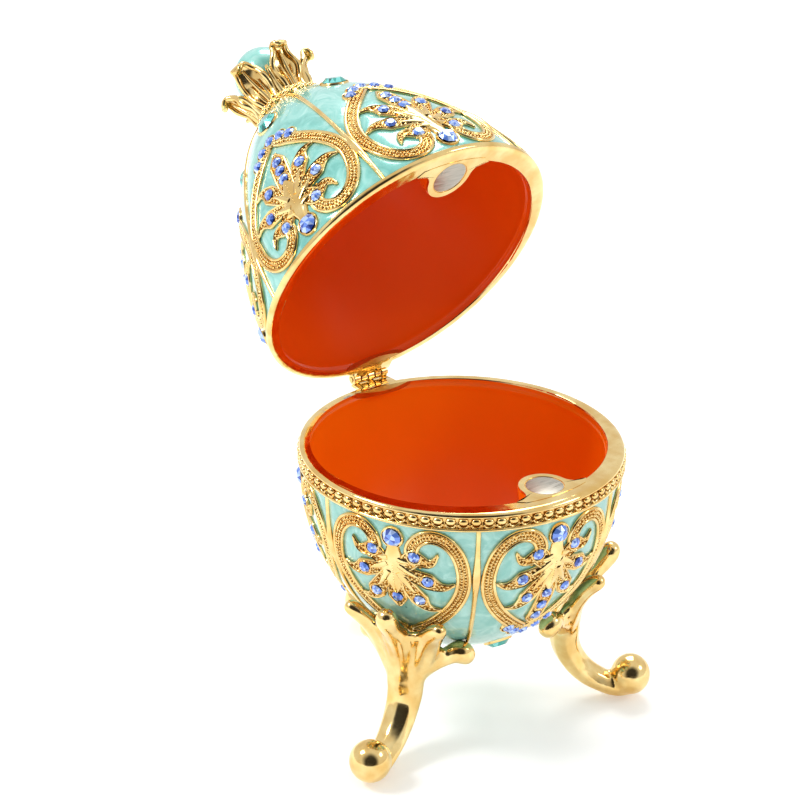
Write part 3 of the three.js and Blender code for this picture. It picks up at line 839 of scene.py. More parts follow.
def hub_parts():
    """The palmette's smooth hub, with flutes that fan out into the petals and a line of dots."""
    rows = 40
    columns = 33
    along = np.linspace(hub_outline[0][0], hub_outline[-1][0], rows)
    width = np.interp(along, [p[0] for p in hub_outline], [p[1] for p in hub_outline])
    for _ in range(6):
        width[1:-1] = (width[:-2] + 2 * width[1:-1] + width[2:]) / 4
    top = []
    for y, half in zip(along, width):
        for share in np.linspace(-1, 1, columns):
            fan = math.atan2(half * share, y - 2.3)
            depth = 0.12 * (0.5 - 0.5 * math.cos(2 * math.pi * fan / flute_pitch))
            depth *= min(max((y - 5.5) / 4, 0), 1) * (1 - share**2)
            top.append((half * share, y, relief * 1.45 * (1 - abs(share) ** 4) - 0.05 - depth))
    dots = [at(0, 7.6 + dot_pitch * i, relief * 1.45 - 0.08) for i in range(10)]
    parts = [slab(top, rows, columns, -relief), copied(grain(0.13), dots)]
    ridge = ring_section(0.5, 0.36)
    for near, far in (((0.9, 6.2), (2.7, 6.6)), ((1.0, 7.4), (4.3, 9.5)), ((0.8, 9.0), (3.1, 12.9))):
        middle = ((near[0] + far[0]) / 2, (near[1] + far[1]) / 2 + 0.1)
        one = moved(drawn([near, middle, far], ridge, radii=[1.2, 1.1, 0.4], smoothness=4), z=relief * 0.85)
        parts += [one, mirrored(one)]
    bpy.data.objects.remove(ridge)
    return parts


side_stones = [petal["stone"] for petal in petals]
apex_stones = [(0, 26.3), (2.2, 25.3), (-2.2, 25.3), (4.0, 23.5), (-4.0, 23.5)]


def palmette_stones(is_leg_panel, is_lid):
    """Where the small stones of one panel sit."""
    if is_lid:
        middle = [(0, 14.2), (0, 16.7), (0, 19.2)]
    elif is_leg_panel:
        middle = [(0, 14.7)]
    else:
        middle = [(0, 14.7), (0, 17.75), (0, 20.8)]
    sides = [(side * x, y) for x, y in side_stones for side in (-1, 1)]
    return sides, middle, [] if is_leg_panel else apex_stones


def panel_ornament(is_leg_panel=False, is_lid=False):
    """All the gilded relief of one panel, drawn flat, and its shaded ground."""
    random.seed(7)
    wire = ring_section(heart_edge, 0.34, lift=relief * 0.62)
    petal_wire = ring_section(petal_edge, 0.3, lift=relief * 0.68)
    bumps = grain(grain_radius)
    heart, heart_ground = heart_parts(wire, bumps)
    bright = [heart]
    ground = [heart_ground]
    sides, middle, apex = palmette_stones(is_leg_panel, is_lid)
    for petal in petals:
        leaf, leaf_ground = petal_parts(petal, petal_wire, bumps, [petal["stone"]])
        bright += [leaf, mirrored(leaf)]
        ground += [leaf_ground, mirrored(leaf_ground)]
    leaf, leaf_ground = petal_parts(centre_petal(middle), petal_wire, bumps, middle)
    bright.append(leaf)
    ground.append(leaf_ground)
    bright += hub_parts()
    small = collar(small_stone_radius)
    for x, y in sides + middle + apex:
        bright.append(moved(small, x=x, y=y, z=0.12))
    bright.append(moved(collar(big_stone_radius), y=2.3, z=0.1))
    for section in (wire, petal_wire):
        bpy.data.objects.remove(section)
    return joined(bright), joined(ground)


def rib_part(start, end, table):
    """A rib between two panels, thicker where the hearts lean on it."""
    section = ring_section(rib_radius, 0.42, lift=0.18)
    along = np.linspace(start, end, 26)
    swell = [1 + 0.75 * math.exp(-(((y - start - 9.5) / 3.4) ** 2)) for y in along]
    part = drawn([(0, y) for y in along], section, radii=swell, smoothness=2)
    bpy.data.objects.remove(section)
    return part


# Stones


def cut_stone(girdle, table_radius, crown_height, depth, sides):
    """A round cut stone about its girdle: a table in wedges, kite facets and a pointed back."""
    bpy.ops.object.select_all(action="DESELECT")
    bpy.ops.mesh.primitive_cone_add(
        vertices=sides,
        radius1=girdle,
        radius2=table_radius,
        depth=crown_height,
        location=(0, 0, crown_height / 2),
        end_fill_type="NGON",
    )
    thing = bpy.context.object
    mesh = thing.data
    bpy.ops.object.mode_set(mode="EDIT")
    bpy.ops.mesh.select_mode(type="VERT")
    bpy.ops.mesh.select_all(action="DESELECT")
    bpy.ops.object.mode_set(mode="OBJECT")
    for vertex in mesh.vertices:
        vertex.select = vertex.co.z > 0
    bpy.ops.object.mode_set(mode="EDIT")
    bpy.ops.transform.rotate(value=math.pi / sides, orient_axis="Z", center_override=(0, 0, 0))
    bpy.ops.mesh.select_all(action="DESELECT")
    bpy.ops.mesh.select_mode(type="FACE")
    bpy.ops.object.mode_set(mode="OBJECT")
    for face in mesh.polygons:
        face.select = face.normal.z < -0.9
    bpy.ops.object.mode_set(mode="EDIT")
    bpy.ops.mesh.extrude_region_move(TRANSFORM_OT_translate={"value": (0, 0, -depth)})
    bpy.ops.mesh.merge(type="CENTER")
    bpy.ops.mesh.select_all(action="SELECT")
    bpy.ops.mesh.convex_hull()
    bpy.ops.mesh.select_all(action="DESELECT")
    bpy.ops.object.mode_set(mode="OBJECT")
    for face in mesh.polygons:
        face.select = face.normal.z > 0.95
    bpy.ops.object.mode_set(mode="EDIT")
    bpy.ops.mesh.dissolve_faces()
    bpy.ops.mesh.poke(offset=0.02 * girdle)
    bpy.ops.mesh.select_all(action="SELECT")
    bpy.ops.mesh.quads_convert_to_tris(quad_method="SHORTEST_DIAGONAL")
    bpy.ops.object.mode_set(mode="OBJECT")
    return taken(thing)


def set_stones(name, stone, places, place, tones, body, slot, replaces=()):
    """Stones as one piece. Their facets take lighter or darker copies of the glass colour by turns, painted glints and
    painted shade, and their backs are foil.
    """
    points, faces = copied(stone, places)
    first_points, first_faces = stone
    tone_of_face = []
    for _ in places:
        for face in first_faces:
            a, b, c = (first_points[corner] for corner in face[:3])
            is_back = np.cross(b - a, c - a)[2] < -1e-6
            # Tone 1 is a painted glint and tone 2 painted shade; tone 3 is the foil behind the stone.
            tone_of_face.append(3 if is_back else random.choice((0, 0, 0, 1, 1, 2)))
    return made(
        name, (points, faces), place, tones, body, slot,
        angle=0, replaces=replaces, tone_of_face=tone_of_face,
    )


# Shells


def shell_parts(egg, table, band, is_lid):
    """The cast metal of one shell: its outside under the enamel, its rim and its hollow."""
    inner = {**egg, "radius": cavity_radius, "depth": egg["depth"] - pole_wall}
    inner_table = egg_table(inner)
    outside = [row for row in egg_rows(table, 0, 60, lift=-0.3) if row[1] > band + 0.3]
    outside.reverse()
    rim = [(egg_radius(egg, band) - 0.1, band + 0.15), (rim_radius - 0.25, band), (rim_radius, band - 0.25)]
    if not is_lid:
        floor = rim_radius - bead_recess
        rim += [(rim_radius, 2.6), (floor, 2.45), (floor, 0.85), (rim_radius, 0.7)]
    rim += [(rim_radius, 0.62), (rim_radius - 0.08, 0.38), (rim_radius - 0.3, 0.17), (rim_radius - 0.65, 0.04),
            (rim_radius - 1.05, 0.0), (rim_radius - 1.5, 0.03), (cavity_radius + 0.4, 0.04),
            (cavity_radius + 0.12, 0.1), (cavity_radius, 0.25)]
    inside = egg_rows(inner_table, 0.6, 60)
    points, faces = spun(outside + rim + inside, 144)
    return (lean(points, inner, egg), faces), inner_table, inner


def lean(points, inner, egg):
    """Leans the hollow back towards the axis as it gets deeper."""
    points = points.copy()
    depth = np.clip(points[:, 2], 0, inner["depth"])
    radius = np.hypot(points[:, 0], points[:, 1])
    limit = inner["radius"] * (1 - (depth / inner["depth"]) ** inner["power"]) ** (1 / inner["roundness"])
    is_inside = radius < limit + 0.3
    share = 1 - depth / inner["depth"]
    points[is_inside, 1] += cavity_shift * share[is_inside] ** 2
    return points


def lining_part(inner):
    """The enamel in the hollow, a thin skin whose edge stands in a soft line under the rim."""
    edge = [(0.4, 0.05), (1.1, 0.07), (1.3, 0.16), (1.42, 0.3), (1.65, 0.34), (2.1, 0.26)]
    rows = [(egg_radius(inner, height) - skin, height) for height, skin in edge]
    table = egg_table(inner)
    rows += [row for row in egg_rows(table, 0.55, 70, lift=-0.22) if row[1] > 2.5]
    back = egg_rows(table, 0.4, 30, lift=0.1)
    points, faces = spun(back[::-1] + rows, 128)
    depth = np.clip(points[:, 2], 0, inner["depth"])
    share = 1 - depth / inner["depth"]
    points[:, 1] += cavity_shift * share**2
    return points, faces


def gilded_reach(points_2d, is_lid):
    """The distance from flat points to the nearest gilded line, below zero on the gold."""
    line = heart_line()
    samples = [np.column_stack([line, np.full(len(line), heart_band_width / 2)])]
    middle = palmette_stones(False, is_lid)[1]
    for petal in [*petals, centre_petal(middle)]:
        spine = petal_spine(petal, 18)
        away, towards = petal_widths(petal, spine, petal_half_width + 0.15)
        samples.append(np.column_stack([spine, (away + towards) / 2]))
    samples.append(np.array([[0, 2.3, 2.2], [0, 4.2, 1.3], [0, 6.0, 1.6], [0, 8.4, 2.4]]))
    samples = np.vstack(samples)
    best = np.full(len(points_2d), 99.0)
    folded = np.column_stack([np.abs(points_2d[:, 0]), points_2d[:, 1]])
    for x, y, width in samples:
        best = np.minimum(best, np.hypot(folded[:, 0] - x, folded[:, 1] - y) - width)
    return best


def enamel_part(table, start, heart_start, turn, rib_end, is_lid):
    """The enamel over a shell: it swells between the gilded lines and sinks towards them."""
    outer = egg_rows(table, start, 104)
    inner = egg_rows(table, start, 16, lift=-0.6)
    points, faces = spun(inner[::-1] + outer, 72 * PANELS)
    radius = np.hypot(points[:, 0], points[:, 1])
    azimuth = np.arctan2(points[:, 1], points[:, 0])
    is_outer = np.zeros(len(points), dtype=bool)
    along = np.interp(points[:, 2], table["height"], table["along"])
    surface = np.interp(along, table["along"], table["radius"])
    is_outer = radius > surface - 0.2
    middle = turn + math.pi / PANELS
    sector = 2 * math.pi / PANELS
    from_middle = (azimuth - middle + sector / 2) % sector - sector / 2
    across = from_middle * surface
    flat = np.column_stack([across, along - heart_start])
    reach = gilded_reach(flat, is_lid)
    to_rib = np.abs(np.abs(from_middle) - sector / 2) * surface - rib_radius
    past_rib = along > table["along"][-1] - rib_end
    to_rib = np.where(past_rib, 9.0, to_rib)
    reach = np.minimum(reach, np.minimum(to_rib, along - start))
    lift = enamel_edge + enamel_pillow * (1 - np.exp(-np.maximum(reach, 0) / enamel_meniscus))
    slope_r = np.interp(along, table["along"], table["slope_r"])
    slope_z = np.interp(along, table["along"], table["slope_z"])
    out = np.where(is_outer, lift, 0)
    points[:, 0] += out * slope_z * np.cos(azimuth)
    points[:, 1] += out * slope_z * np.sin(azimuth)
    points[:, 2] -= out * slope_r
    return points, faces


def boss_outline():
    """The magnet's boss in plan: round, and filleted into the wall at each side."""
    span = magnet_place + cavity_shift
    away = boss_radius + boss_fillet
    rise = (away**2 - (cavity_radius - boss_fillet) ** 2 + span**2) / (2 * span)
    side = math.sqrt(away**2 - rise**2)
    centre = np.array((side, rise - magnet_place))
    to_wall = math.atan2(centre[1] - cavity_shift, centre[0])
    to_boss = math.atan2(-rise, -side)
    right = []
    for angle in np.linspace(to_wall, to_boss, 10):
        right.append(centre + boss_fillet * np.array((math.cos(angle), math.sin(angle))))
    for angle in np.linspace(math.atan2(rise, side), math.pi / 2, 16)[1:]:
        right.append(np.array((boss_radius * math.cos(angle), boss_radius * math.sin(angle) - magnet_place)))
    return right + [point * (-1, 1) for point in right[:-1][::-1]]


def wall_at(inner, angle, depth, behind):
    """A point of the hollow's wall in plan, or one that stands behind it."""
    share = 1 - depth / inner["depth"]
    radius = egg_radius(inner, depth) + behind
    return np.array((radius * math.cos(angle), radius * math.sin(angle) + cavity_shift * share**2))


def boss_parts(inner):
    """The boss that holds a magnet: a gold top, an enamelled stem, and a thin ring round the magnet in darker gold, a
    painted shadow line.
    """
    outline = boss_outline()
    angles = [math.atan2(y - cavity_shift, x) for x, y in outline]
    rings = []
    for depth in np.linspace(0.5, boss_depth, 18):
        share = (depth - 0.5) / (boss_depth - 0.5)
        fade = 1 - share * share * (3 - 2 * share)
        front = []
        for point, angle in zip(outline, angles):
            front.append(wall_at(inner, angle, depth, -0.2) + fade * (point - wall_at(inner, angle, 0, 0)))
        back = [wall_at(inner, angle, depth, 0.2) for angle in angles[::-1]]
        rings.append([(x, y, depth) for x, y in front + back])
    stem = tube(rings)
    loop = list(outline)
    for angle in np.linspace(angles[-1], angles[0] + 0.0, 12)[1:-1]:
        loop.append(wall_at(inner, angle, 0, 0.8))
    around = np.unwrap([math.atan2(y + magnet_place, x) for x, y in loop])
    around = np.maximum.accumulate(around)
    hole_radius = magnet_radius + 0.16
    top = -0.005
    points = []
    for height in (top, 0.5):
        points += [(x, y, height) for x, y in loop]
        for angle in around:
            points.append(
                (hole_radius * math.cos(angle), hole_radius * math.sin(angle) - magnet_place, height)
            )
    count = len(loop)
    faces = []
    for k in range(count):
        n = (k + 1) % count
        a, b, c, d = k, n, count + n, count + k
        shift = 2 * count
        faces += [(a, b, c, d), (shift + d, shift + c, shift + b, shift + a)]
        faces += [(a, shift + a, shift + b, b), (d, c, shift + c, shift + d)]
    gold = outward((np.array(points), faces))
    # A thin ring round the magnet's hole, given the darker gold as a painted shadow line.
    ring = hoop([(magnet_radius - 0.1, 0.3), (hole_radius + 0.1, 0.3), (hole_radius + 0.1, 0.06),
                 (magnet_radius - 0.1, 0.06)], 64)
    return gold, stem, moved(ring, y=-magnet_place)


def magnet_part():
    top = -0.02
    profile = [
        (0, top),
        (magnet_radius - 0.25, top),
        (magnet_radius - 0.06, top + 0.06),
        (magnet_radius, top + 0.22),
        (magnet_radius, magnet_thickness),
        (0, magnet_thickness),
    ]
    return moved(spun(profile, 48), y=-magnet_place)


def hinge_seat(inner, side):
    """The gilded gusset inside the wall that the hinge's leaf is let into."""
    middle = math.pi / 2 - side * hinge_shift / cavity_radius
    rings = []
    for share in np.linspace(0, 1, 10):
        depth = 0.06 + seat_depth * share
        half = seat_half_width * math.sqrt(1 - 0.75 * share**2)
        front = []
        back = []
        for across in np.linspace(-1, 1, 17):
            angle = middle + across * half / cavity_radius
            inwards = seat_reach * (1 - across**2) ** 1.3 * (1 - share) ** 0.6 + 0.3
            front.append(wall_at(inner, angle, depth, -inwards))
            back.append(wall_at(inner, angle, depth, 0.3))
        rings.append([(x, y, depth) for x, y in front + back[::-1]])
    return tube(rings)


def cup_rim_parts():
    """The cup's rim: a row of oval beads, a row of scallops under it and a plain wire."""
    bead = moved(orb(1.0, 12, 8), scale=(0.46, 0.86, 0.6))
    arc = ring_section(0.2, 0.26)
    points = [(0.86 * math.cos(a), 0.8 * math.sin(a)) for a in np.linspace(0.1, math.pi - 0.1, 7)]
    scallop_flat, scallop_faces = drawn(points, arc, smoothness=1)
    bpy.data.objects.remove(arc)
    scallop = (scallop_flat[:, [2, 0, 1]], scallop_faces)
    beads = []
    scallops = []
    for i in range(bead_count):
        angle = 2 * math.pi * i / bead_count
        turn = np.array(Matrix.Rotation(angle, 3, "Z"))
        for places, far, height in ((beads, -0.14, 1.42), (scallops, -0.06, 1.72)):
            radius = rim_radius + far
            places.append(at(radius * math.cos(angle), radius * math.sin(angle), height, turn))
    wire_height = 2.88
    wire = [
        (rim_radius + 0.26 * math.cos(a), wire_height + 0.26 * math.sin(a))
        for a in np.linspace(-math.pi / 2, math.pi / 2, 7)
    ]
    ring = [(rim_radius - 0.6, wire_height - 0.26), *wire, (rim_radius - 0.6, wire_height + 0.26)]
    return [copied(bead, beads), copied(scallop, scallops), hoop(ring, 144)]


def hoop(section, steps):
    """A closed section of (radius, height) points spun into a ring."""
    count = len(section)
    angles = np.linspace(0, 2 * math.pi, steps, endpoint=False)
    points = np.array([(r * math.cos(a), r * math.sin(a), z) for a in angles for r, z in section])
    faces = []
    for i in range(steps):
        for k in range(count):
            a = i * count + k
            b = i * count + (k + 1) % count
            c = ((i + 1) % steps) * count + (k + 1) % count
            d = ((i + 1) % steps) * count + k
            faces.append((a, d, c, b))
    return points, faces


def make_shell(half):
    """One shell of the egg with its enamel, lining, gilded relief, stones and magnet."""
    is_lid = half == "lid"
    egg = lid_egg if is_lid else cup_egg
    band = lid_band if is_lid else cup_band
    heart_start = lid_heart_start if is_lid else cup_heart_start
    turn = 0.0 if is_lid else -math.radians(cup_turn)
    place = lid_place if is_lid else cup_place
    body = "lid" if is_lid else "base"
    rib_end = 7.5 if is_lid else 0.8
    table = egg_table(egg)
    length = table["along"][-1]
    casting, inner_table, inner = shell_parts(egg, table, band, is_lid)
    made(half + "_shell", casting, place, [bright_gold], body, "gold", replaces=(half,))
    start = float(np.interp(band, table["height"], table["along"])) - 0.1
    enamel = enamel_part(table, start, heart_start, turn, rib_end, is_lid)
    colour = pale_aqua_pearl if is_lid else aqua_pearl
    made(half + "_enamel", enamel, place, [colour], body, "aqua_enamel", angle=60)
    gold_boss, stem, magnet_shadow_ring = boss_parts(inner)
    # The lid's hollow and boss stem take the darker orange: painted shade.
    inside = orange_enamel_painted_shade if is_lid else orange_enamel
    made(half + "_lining", lining_part(inner), place, [inside], body, "orange_enamel")
    made(half + "_magnet_boss", stem, place, [inside], body, "orange_enamel", angle=60)
    made(half + "_magnet_setting", gold_boss, place, [bright_gold], body, "gold")
    made(half + "_hinge_seat", hinge_seat(inner, 1 if is_lid else -1), place, [satin_gold], body, "gold")
    made(half + "_magnet", magnet_part(), place, [magnet_nickel], body, "magnet", replaces=("magnet_" + half,))

    plain = panel_ornament(is_leg_panel=False, is_lid=is_lid)
    over_leg = plain if is_lid else panel_ornament(is_leg_panel=True)
    rib = rib_part(start - 0.3, length - rib_end, table)
    relief_parts = []
    ground_parts = [magnet_shadow_ring]
    small_places = []
    small = cut_stone(small_stone_radius, small_stone_radius * 0.6, 0.42, 0.7, 8)
    big = cut_stone(big_stone_radius, big_stone_radius * 0.6, 0.62, 0.95, 10)
    teal = cut_stone(teal_stone_radius, teal_stone_radius * 0.62, 0.7, 1.0, 12)
    teal_place = lid_teal_place if is_lid else cup_teal_place
    teal_collar = collar(teal_stone_radius)
    for panel in range(PANELS):
        rib_angle = turn + 2 * math.pi * panel / PANELS
        middle = rib_angle + math.pi / PANELS
        is_leg_panel = not is_lid and panel % 2 == 1
        ornament, ground = over_leg if is_leg_panel else plain
        relief_parts.append(laid(ornament, table, middle, heart_start))
        ground_parts.append(laid(ground, table, middle, heart_start))
        relief_parts.append(laid(rib, table, rib_angle))
        sides, centre, apex = palmette_stones(is_leg_panel, is_lid)
        for x, y in sides + centre + apex:
            small_places.append(seat(table, middle, x, heart_start + y, relief * 1.05))
        big_seat = seat(table, middle, 0, heart_start + 2.3, relief * 1.05)
        number = str(panel + 1)
        set_stones(
            "big_blue_stone_" + half + "_" + number, big, [big_seat], place,
            blue_stone_tones, body, "blue_stone", (f"blue_stone_{half}_{number}",),
        )
        if is_leg_panel:
            continue
        teal_seat = seat(table, middle, 0, teal_place, relief)
        relief_parts.append(copied(teal_collar, [seat(table, middle, 0, teal_place, 0)]))
        set_stones(
            "round_teal_stone_" + half + "_" + number, teal, [teal_seat], place,
            teal_stone_tones, body, "teal_stone", (f"teal_stone_{half}_{number}",),
        )
    if not is_lid:
        relief_parts += cup_rim_parts()
        floor = rim_radius - bead_recess
        # The bead channel is lined in the darker gold: painted shade in the recess.
        channel = [(floor - 0.3, 1.0), (floor + 0.04, 1.0), (floor + 0.04, 2.5), (floor - 0.3, 2.5)]
        ground_parts.append(hoop(channel, 144))
    made(half + "_gilded_relief", joined(relief_parts), place, [cast_gold], body, "gold", angle=50)
    # The sunk grounds, the bead channel and the ring round each magnet take the darker gold: painted shade.
    made(half + "_relief_ground", joined(ground_parts), place, [painted_shade_gold], body, "gold", angle=50)
    set_stones(half + "_small_stones", small, small_places, place, blue_stone_tones, body, "blue_stone")


# Legs


def as_object(part):
    """A part as an object to work on."""
    points, faces = part
    mesh = bpy.data.meshes.new("blank")
    mesh.from_pydata(points.tolist(), [], faces)
    thing = bpy.data.objects.new("blank", mesh)
    bpy.context.scene.collection.objects.link(thing)
    only(thing)
    return thing


def melted(parts, voxel):
    """Overlapping forms melted into one casting."""
    thing = as_object(joined(parts))
    melt = thing.modifiers.new("melt", "REMESH")
    melt.mode = "VOXEL"
    melt.voxel_size = voxel
    bpy.ops.object.modifier_apply(modifier=melt.name)
    return taken(thing)


def relaxed(part, times):
    """A part with its surface smoothed, as polishing does."""
    thing = as_object(part)
    smooth = thing.modifiers.new("smooth", "SMOOTH")
    smooth.factor = 0.5
    smooth.iterations = times
    bpy.ops.object.modifier_apply(modifier=smooth.name)
    return taken(thing)


def upright(part):
    """Turns a part that was drawn flat so that its y becomes height and its z points to -Y."""
    points, faces = part
    return points[:, [0, 2, 1]] * (1, -1, 1), faces


def limb(stations, sides=16):
    """A limb that hugs the cup, through stations of (turn, radius, height, half width, half depth)."""
    rows = smooth_steps(stations, 22)
    turn = np.radians(rows[:, 0])
    centre = np.column_stack([rows[:, 1] * np.cos(turn), rows[:, 1] * np.sin(turn), rows[:, 2]])
    direction = np.gradient(centre, axis=0)
    direction /= np.linalg.norm(direction, axis=1)[:, None]
    away = np.column_stack([0.75 * np.cos(turn), 0.75 * np.sin(turn), np.full(len(rows), -0.66)])
    side = np.cross(away, direction)
    side /= np.linalg.norm(side, axis=1)[:, None]
    out = np.cross(direction, side)
    # Each end is rounded over, as wide as the limb is deep there.
    steps = [(-0.9, 0.35, 0), (-0.6, 0.78, 0)] + [(0, 1, i) for i in range(len(rows))]
    steps += [(0.6, 0.78, -1), (0.9, 0.35, -1)]
    rings = []
    for beyond, size, i in steps:
        width = rows[i, 3] * size
        depth = rows[i, 4] * size
        middle = centre[i] + direction[i] * beyond * rows[i, 4]
        ring = []
        for angle in np.linspace(0, 2 * math.pi, sides, endpoint=False):
            ring.append(middle + side[i] * width * math.cos(angle) + out[i] * depth * math.sin(angle))
        rings.append(ring)
    return tube(rings)


# Stations of (turn in degrees, radius, height, half width, half depth)
knob_limb = [(0, 19.6, 11.0, 2.2, 2.0), (0, 19.8, 16.5, 3.6, 2.2), (0, 20.9, 21.0, 3.8, 2.1), (0, 23.2, 24.8, 2.8, 1.9),
             (0, 25.2, 27.2, 1.75, 1.7), (0, 26.4, 28.9, 2.0, 1.9), (0, 26.9, 30.0, 1.9, 1.8)]
curl_limb = [(2, 19.4, 12.5, 1.8, 1.5), (7, 19.8, 18.2, 2.8, 1.9), (11.5, 21.2, 22.6, 2.7, 1.7), (15.5, 23.1, 25.8, 2.2, 1.5),
             (18.0, 24.5, 27.5, 1.8, 1.5), (19.2, 25.2, 28.2, 1.5, 1.4)]
horn_limb = [(0, 19.4, 12.5, 1.5, 1.4), (7, 19.1, 16.6, 2.0, 1.8), (15, 18.7, 18.6, 1.9, 1.7), (21.5, 18.3, 19.4, 1.5, 1.5),
             (26, 18.1, 20.3, 2.0, 1.9), (29, 18.0, 20.2, 2.3, 2.1), (31, 17.9, 19.6, 2.0, 1.9)]
upper_web = [(4, 19.8, 16.5, 2.4, 1.6), (8, 21.4, 22.4, 2.3, 1.3), (9.5, 23.0, 25.2, 1.7, 1.0)]
lower_web = [(2, 19.5, 15.0, 1.8, 1.6), (9, 19.2, 18.8, 2.3, 1.5), (16.5, 19.8, 21.2, 2.0, 1.1)]
flutes = (-10.5, -6.3, -2.3, 2.3, 6.3, 10.5)  # where the head's flutes end, in degrees at its top
flute_depth = 0.3


def fluted(points):
    """Cuts the flutes of the acanthus head, which fan out from the column."""
    points = points.copy()
    turn = np.degrees(np.arctan2(points[:, 1], points[:, 0]))
    radius = np.hypot(points[:, 0], points[:, 1])
    height = points[:, 2]
    middle = np.interp(height, [13, 17.5, 21.8, 25.6, 28.0], [19.6, 19.9, 21.2, 23.6, 25.6])
    is_front = radius > middle - 0.6
    window = np.clip((height - 17.5) / 3.5, 0, 1) * np.clip((26.5 - height) / 2, 0, 1)
    fan = (height - 10) / 14
    depth = np.zeros(len(points))
    for flute in flutes:
        depth += np.exp(-(((turn - flute * fan) * radius / 57.3 / 0.42) ** 2))
    depth = np.clip(depth, 0, 1) * window
    depth = np.where(is_front, depth, 0) * flute_depth
    points[:, 0] -= depth * 0.75 * np.cos(np.radians(turn))
    points[:, 1] -= depth * 0.75 * np.sin(np.radians(turn))
    points[:, 2] += depth * 0.66
    return points


def leg_part():
    """A scroll foot in the plane of +X: acanthus head, curved column and a rolled end."""
    oval = ring_section(2.2, 2.8)
    column = [
        (21.2, 22.6),
        (20.3, 19.8),
        (19.7, 17.0),
        (19.4, 14.2),
        (19.6, 11.6),
        (21.0, 8.4),
        (23.6, 5.4),
        (26.6, 3.5),
        (28.8, 2.5),
        (30.6, 2.3),
        (32.0, 2.8),
        (32.8, 3.6),
        (33.0, 4.4),
    ]
    radii = [0.8, 1.08, 1.24, 1.3, 1.22, 1.12, 1.05, 0.98, 0.92, 0.86, 0.78, 0.7, 0.6]
    parts = [upright(drawn(column, oval, radii=radii, smoothness=6))]
    bpy.data.objects.remove(oval)
    parts.append(moved(orb(1.0, 32, 20), x=31.8, z=4.65, scale=(3.6, 3.7, 3.8)))
    parts.append(limb(knob_limb))
    for stations in (curl_limb, horn_limb, upper_web, lower_web):
        one = limb(stations)
        parts += [one, (one[0] * (1, -1, 1), [tuple(reversed(face)) for face in one[1]])]
    points, faces = relaxed(melted(parts, 0.3), 6)
    points, faces = relaxed((fluted(points), faces), 8)
    points[:, 2] = np.maximum(points[:, 2], 0.0)
    return points, faces


def make_legs():
    leg = leg_part()
    for name, azimuth in (("leg_back", 90), ("leg_left", 210), ("leg_right", 330)):
        place = egg_place @ Matrix.Rotation(math.radians(azimuth + leg_turn), 4, "Z")
        made("scroll_" + name, leg, place, [polished_gold], "base", "gold", angle=80, replaces=(name,))


# Crown

crown_spine = [
    (5.0, 39.0),
    (5.3, 41.2),
    (5.9, 43.4),
    (6.7, 45.4),
    (7.4, 47.2),
    (8.1, 48.6),
    (8.8, 49.0),
    (9.4, 48.4),
    (9.3, 47.5),
]


def leaf_place(part):
    """Bends a flat leaf up along the crown's profile: x across, y up the leaf, z outwards."""
    points, faces = part
    knots = np.array(crown_spine)
    reach = np.concatenate([[0], np.cumsum(np.linalg.norm(np.diff(knots, axis=0), axis=1))])
    fine = np.linspace(0, reach[-1], 120)
    radius = np.interp(fine, reach, knots[:, 0])
    height = np.interp(fine, reach, knots[:, 1])
    for _ in range(60):
        radius[1:-1] = (radius[:-2] + 2 * radius[1:-1] + radius[2:]) / 4
        height[1:-1] = (height[:-2] + 2 * height[1:-1] + height[2:]) / 4
    slope_r = np.gradient(radius, fine)
    slope_z = np.gradient(height, fine)
    along = np.clip(points[:, 1], 0, fine[-1])
    far = np.interp(along, fine, radius) + points[:, 2] * np.interp(along, fine, slope_z)
    high = np.interp(along, fine, height) - points[:, 2] * np.interp(along, fine, slope_r)
    hug = points[:, 0] ** 2 / 14.0 * np.clip(along / fine[-1], 0.2, 1)
    return np.column_stack([far - hug, points[:, 0], high]), faces


leaf_edge = [(1.4, 0.2), (1.6, 2.2), (2.15, 4.2), (2.5, 6.0), (2.3, 7.6), (1.6, 9.2), (1.25, 10.6), (0.9, 11.8)]


def leaf_part():
    """One leaf of the crown: a thick wavy rim round a hollow with a ridge, its tip curled over."""
    rim = ring_section(0.55, 0.6)
    ridge = ring_section(0.4, 0.5)
    loop = leaf_edge + [(0, 12.4)] + [(-x, y) for x, y in leaf_edge[::-1]]
    parts = [drawn(loop, rim, closed=True, smoothness=4)]
    middle = [(0, 0.3), (0.15, 3), (-0.1, 6.5), (0, 9.5)]
    parts.append(drawn(middle, ridge, radii=[1.1, 1.3, 1.0, 0.5], smoothness=6))
    for side in (-1, 1):
        vein = [(side * 0.4, 0.6), (side * 0.75, 3.6), (side * 1.0, 6.6)]
        parts.append(drawn(vein, ridge, radii=[0.7, 0.8, 0.35], smoothness=5))
    for section in (rim, ridge):
        bpy.data.objects.remove(section)
    rows = 24
    columns = 9
    top = []
    for y in np.linspace(0.3, 12.2, rows):
        width = np.interp(y, [p[1] for p in leaf_edge], [p[0] for p in leaf_edge])
        for share in np.linspace(-1, 1, columns):
            top.append((width * share, y, -0.1 - 0.3 * (1 - share**2)))
    parts.append(slab(top, rows, columns, -0.62))
    points, faces = joined(parts)
    points = points.copy()
    wave = 0.28 * np.sin(points[:, 1] * 1.25) * np.sign(points[:, 0]) * np.clip(np.abs(points[:, 0]) / 1.6, 0, 1)
    points[:, 2] += wave
    return leaf_place((points, faces))


